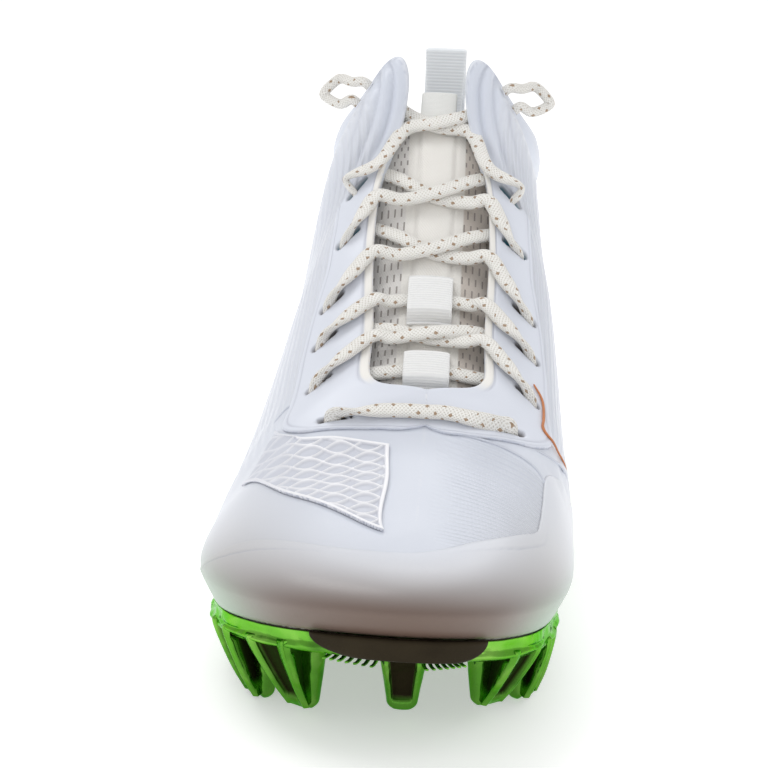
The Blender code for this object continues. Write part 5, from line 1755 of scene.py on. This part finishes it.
def build_studs():
    """Sculpted blades: a rounded tip, a hollow in front of the toe's darkened with painted shade, an apron on
    the others.
    """
    level, point = steps(BLADE_ROWS)[:, None], np.linspace(0.0, math.tau, BLADE_POINTS)[None]
    size = STUD_TIP_SHARE + (1 - STUD_TIP_SHARE) * level ** 1.15
    size = size * np.sqrt(clamp(1 - (1 - clamp(level / 0.10)) ** 2 * 0.45))
    size = size + 0.12 * smooth_step(level, 0.85, 1.0)
    across, deep = rounded_square(point, 0.75)
    x, y = across * STUD_LENGTH / 2 * size, deep * STUD_WIDTH / 2 * size + STUD_LEAN * level ** 2
    front = deep > 0
    for name, *row in STUDS:
        centre, facing, heading, tip = stud_frame(*row)
        toe = name == "toe"
        # the toe stud's front hollow, painted dark as shade
        recess = toe * front * smooth_fall(np.abs(across), 0.52, 0.66) * smooth_step(level, 0.13, 0.24)
        ridge = toe * front * hump(np.abs(across), 0.74, 0.14) * smooth_step(level, 0.03, 0.2)
        hidden = 0.0016 * clamp(deep) * (not toe)
        ahead = y + 0.0005 * ridge - 0.0013 * recess - hidden
        place = centre + heading * x[..., None] + facing * ahead[..., None]
        place[..., 2] = tip + (plate_bottom(back_of(place)) + STUD_SINK - tip) * level
        work = Patchwork("dark", "low")
        # low: painted shade, darker towards the stud's tip
        work.grid(place, dark=recess, low=0.45 + 0.3 * (1 - level))
        ends = place[[0, -1]].mean(axis=1, keepdims=True)
        middle, lid = np.repeat(ends, BLADE_POINTS, axis=1)[:, None]
        work.grid(place[:1] + (middle - place[:1]) * steps(6)[:, None, None], low=0.2)
        work.grid(np.concatenate([place[-1:], lid]), low=0.4)
        if not toe:
            add_apron(work, centre, facing, heading, tip)
        work.build(f"blade_{name}", CHROME, "green_chrome", f"stud_{name}")


def add_apron(work, centre, facing, heading, tip):
    """The stud's outer face: two ribs with a hollow between, darkened with painted shade, from its tip out to
    the rim.

    Its columns run from the rim's side over the plate's lower edge to the tip, wide above and
    narrow below; its two flanks go back to the stud's middle line.
    """
    u = steps(900) if facing[0] < 0 else 2.0 - steps(900)
    gap = surface(u, np.zeros(900))[:, :2] - centre[:2]
    ahead, aside = gap @ facing[:2], gap @ heading[:2]
    spread = np.linspace(-1.0, 1.0, APRON_COLUMNS)
    reach = STUD_LENGTH / 2 * 1.12
    hit = u[np.array([np.argmin(np.abs(aside - s * reach) + (ahead < 0) * 1.0) for s in spread])]
    top = lifted(hit, rim_level(hit) * 0.40, CLEARANCE)
    lip, edge = rim_lines(hit)
    knee = edge + facing * 0.0012 + np.array([0.0, 0.0, 0.0010])
    narrow, deep = STUD_LENGTH / 2 * STUD_TIP_SHARE * 0.92, STUD_WIDTH / 2 * STUD_TIP_SHARE
    foot = centre + heading * (spread * narrow)[:, None] + facing * (deep * (1.0 - 0.25 * spread**4))[:, None]
    foot[:, 2] = tip + 0.0011
    rows = np.stack([top, lip - facing * 0.0011, knee, knee * 0.40 + foot * 0.60 + facing * 0.0007, foot])
    face = curve_through(rows.reshape(5, -1), APRON_ROWS).reshape(APRON_ROWS, APRON_COLUMNS, 3)
    down = steps(APRON_ROWS)[:, None]
    side = np.abs(spread)[None]
    ribs = hump(side, 0.76, 0.18) * smooth_step(down, 0.10, 0.45)
    hollow = smooth_fall(side, 0.40, 0.58) * window(down, 0.34, 0.48, 0.86, 0.94)
    tuck = smooth_step(side, 0.86, 1.0) * smooth_fall(down, 0.30, 0.62)
    face = face + facing * (0.0007 * ribs - 0.0016 * hollow - 0.0018 * tuck)[..., None]
    work.grid(face, dark=hollow, low=0.30 * hump(side, 0.0, 0.5) + 0.55 * smooth_step(down, 0.25, 0.95))
    share = steps(15)[None, :]
    inset = smooth_step(share, 0.12, 0.24) * window(down, 0.22, 0.34, 0.84, 0.94)
    for index, sign, flip in ((0, -1.0, False), (-1, 1.0, True)):
        side, toward = face[:, index], heading * sign
        below = smooth_step(plate_bottom(back_of(side)) - side[:, 2], 0.0, 0.0016)[:, None]
        axis = np.repeat((centre - facing * 0.0020)[None], APRON_ROWS, axis=0)
        axis[:, 2] = np.minimum(side[:, 2], plate_bottom(back_of(centre)) + STUD_SINK)
        axis = (side - facing * 0.0008) * (1 - below) + axis * below
        flank = side[:, None] + (axis - side)[:, None] * share[..., None]
        # painted shade on the flanks' inset faces that turn forward
        dark = inset * clamp(-toward[1] * 1.6)
        work.grid(flank - toward * (0.0006 * inset)[..., None], flip=flip, dark=dark, low=0.60)


# Stage, light and camera


def build_stage():
    """A pale floor, a bright even surround, and three wide soft lamps."""
    mesh = bpy.data.meshes.new("studio_floor")
    corners = [(x * FLOOR_HALF, y * FLOOR_HALF, 0) for x, y in ((-1, -1), (1, -1), (1, 1), (-1, 1))]
    mesh.from_pydata(corners, [], [(0, 1, 2, 3)])
    paint = Finish("studio floor paint", Roughness=0.9, Emission_Color=(1.0,) * 4, Emission_Strength=0.42)
    mesh.materials.append(paint.done(paint.mix(paint.noise(3.0) * 0.02, (0.86,) * 3, (0.83,) * 3)))
    new_object("studio_floor", mesh)
    bpy.context.scene.view_settings.view_transform = "Standard"
    world = bpy.data.worlds.new("studio")
    bpy.context.scene.world = world
    world.use_nodes = True
    nodes, links = world.node_tree.nodes, world.node_tree.links
    background = nodes["Background"]
    background.inputs["Strength"].default_value = WORLD_STRENGTH
    kinds = ("TexCoord", "SeparateXYZ", "ValToRGB")
    place, parts, ramp = (nodes.new("ShaderNode" + kind) for kind in kinds)
    for element, position, grey in zip(ramp.color_ramp.elements, (0.06, 0.30), (1.4, 1.0)):
        element.position, element.color = position, (grey, grey, grey, 1.0)
    links.new(place.outputs["Generated"], parts.inputs["Vector"])
    links.new(parts.outputs["Z"], ramp.inputs["Fac"])
    links.new(ramp.outputs["Color"], background.inputs["Color"])
    for name, place, aim, size, power in LAMPS:
        lamp = bpy.data.lights.new(name, "AREA")
        lamp.shape, lamp.size, lamp.energy = "DISK", size, power
        holder = new_object(name, lamp)
        holder.location = place
        holder.rotation_euler = (Vector(aim) - Vector(place)).to_track_quat("-Z", "Y").to_euler()


FLOOR_HALF = 24.0
WORLD_STRENGTH = 0.70
LAMPS = [
    # name, place, aim, size, power
    ("key", (-0.6, 0.1, 1.5), (0.0, 0.0, 0.06), 0.8, 6.5),
    ("fill", (1.0, -0.2, 1.2), (0.0, 0.0, 0.06), 0.8, 1.5),
    ("back", (0.1, 1.0, 1.3), (0.0, 0.0, 0.08), 0.8, 3.0),
]


def place_camera():
    """The photograph's camera: yaw and pitch aim it, roll turns it, the lens follows its zoom."""
    yaw, pitch, roll = (math.radians(a) for a in (CAMERA_YAW, CAMERA_PITCH, CAMERA_ROLL))
    ahead = np.array([math.sin(yaw) * math.cos(pitch), math.cos(yaw) * math.cos(pitch), -math.sin(pitch)])
    right = np.array([math.cos(yaw), -math.sin(yaw), 0.0])
    up = np.cross(right, ahead)
    turned = math.cos(roll) * right + math.sin(roll) * up
    upright = -math.sin(roll) * right + math.cos(roll) * up
    data = bpy.data.cameras.new("photo_camera")
    data.sensor_width = SENSOR
    data.lens = CAMERA_FOCUS * PHOTO_ZOOM * SENSOR / PHOTO_PIXELS
    data.clip_start = 0.01
    camera = new_object("photo_camera", data)
    axes = np.stack([turned, upright, -ahead, np.array(CAMERA_PLACE) + SHIFT], 1)
    camera.matrix_world = Matrix([*axes.tolist(), [0.0, 0.0, 0.0, 1.0]])
    bpy.context.scene.camera = camera


FILM = film_finish()
LATTICE = panel_finish()
EYESTAY = eyestay_finish()
PIPING = plain_finish("orange piping", ORANGE, 0.5)
LACE = lace_finish()
MESH = mesh_finish()
KEEPER = webbing_finish("keeper webbing", (0.90, 0.90, 0.89), (0.84, 0.84, 0.84), 0.0009, 0.00012)
LABEL = webbing_finish("bare label", (0.88, 0.88, 0.85), (0.84, 0.84, 0.81), 0.0006, 0.00006)
HEEL_WEB = webbing_finish("heel webbing", (0.90, 0.92, 0.94), (0.84, 0.87, 0.90), 0.0012, 0.00010)
CHROME = chrome_finish()
DARK = dark_finish()
FOAM = foam_finish()

place_camera()
build_loops()
build_shell()
build_toe_film()
build_eyestay_film()
build_lattice()
build_seam_lines()
build_piping()
build_tongue_pad()
build_keeper_straps()
build_tongue_loop()
build_heel_loop()
build_laces()
build_footbed()
build_plate_shell()
build_lens()
build_teeth()
build_studs()
build_stage()

bpy.context.view_layer.update()
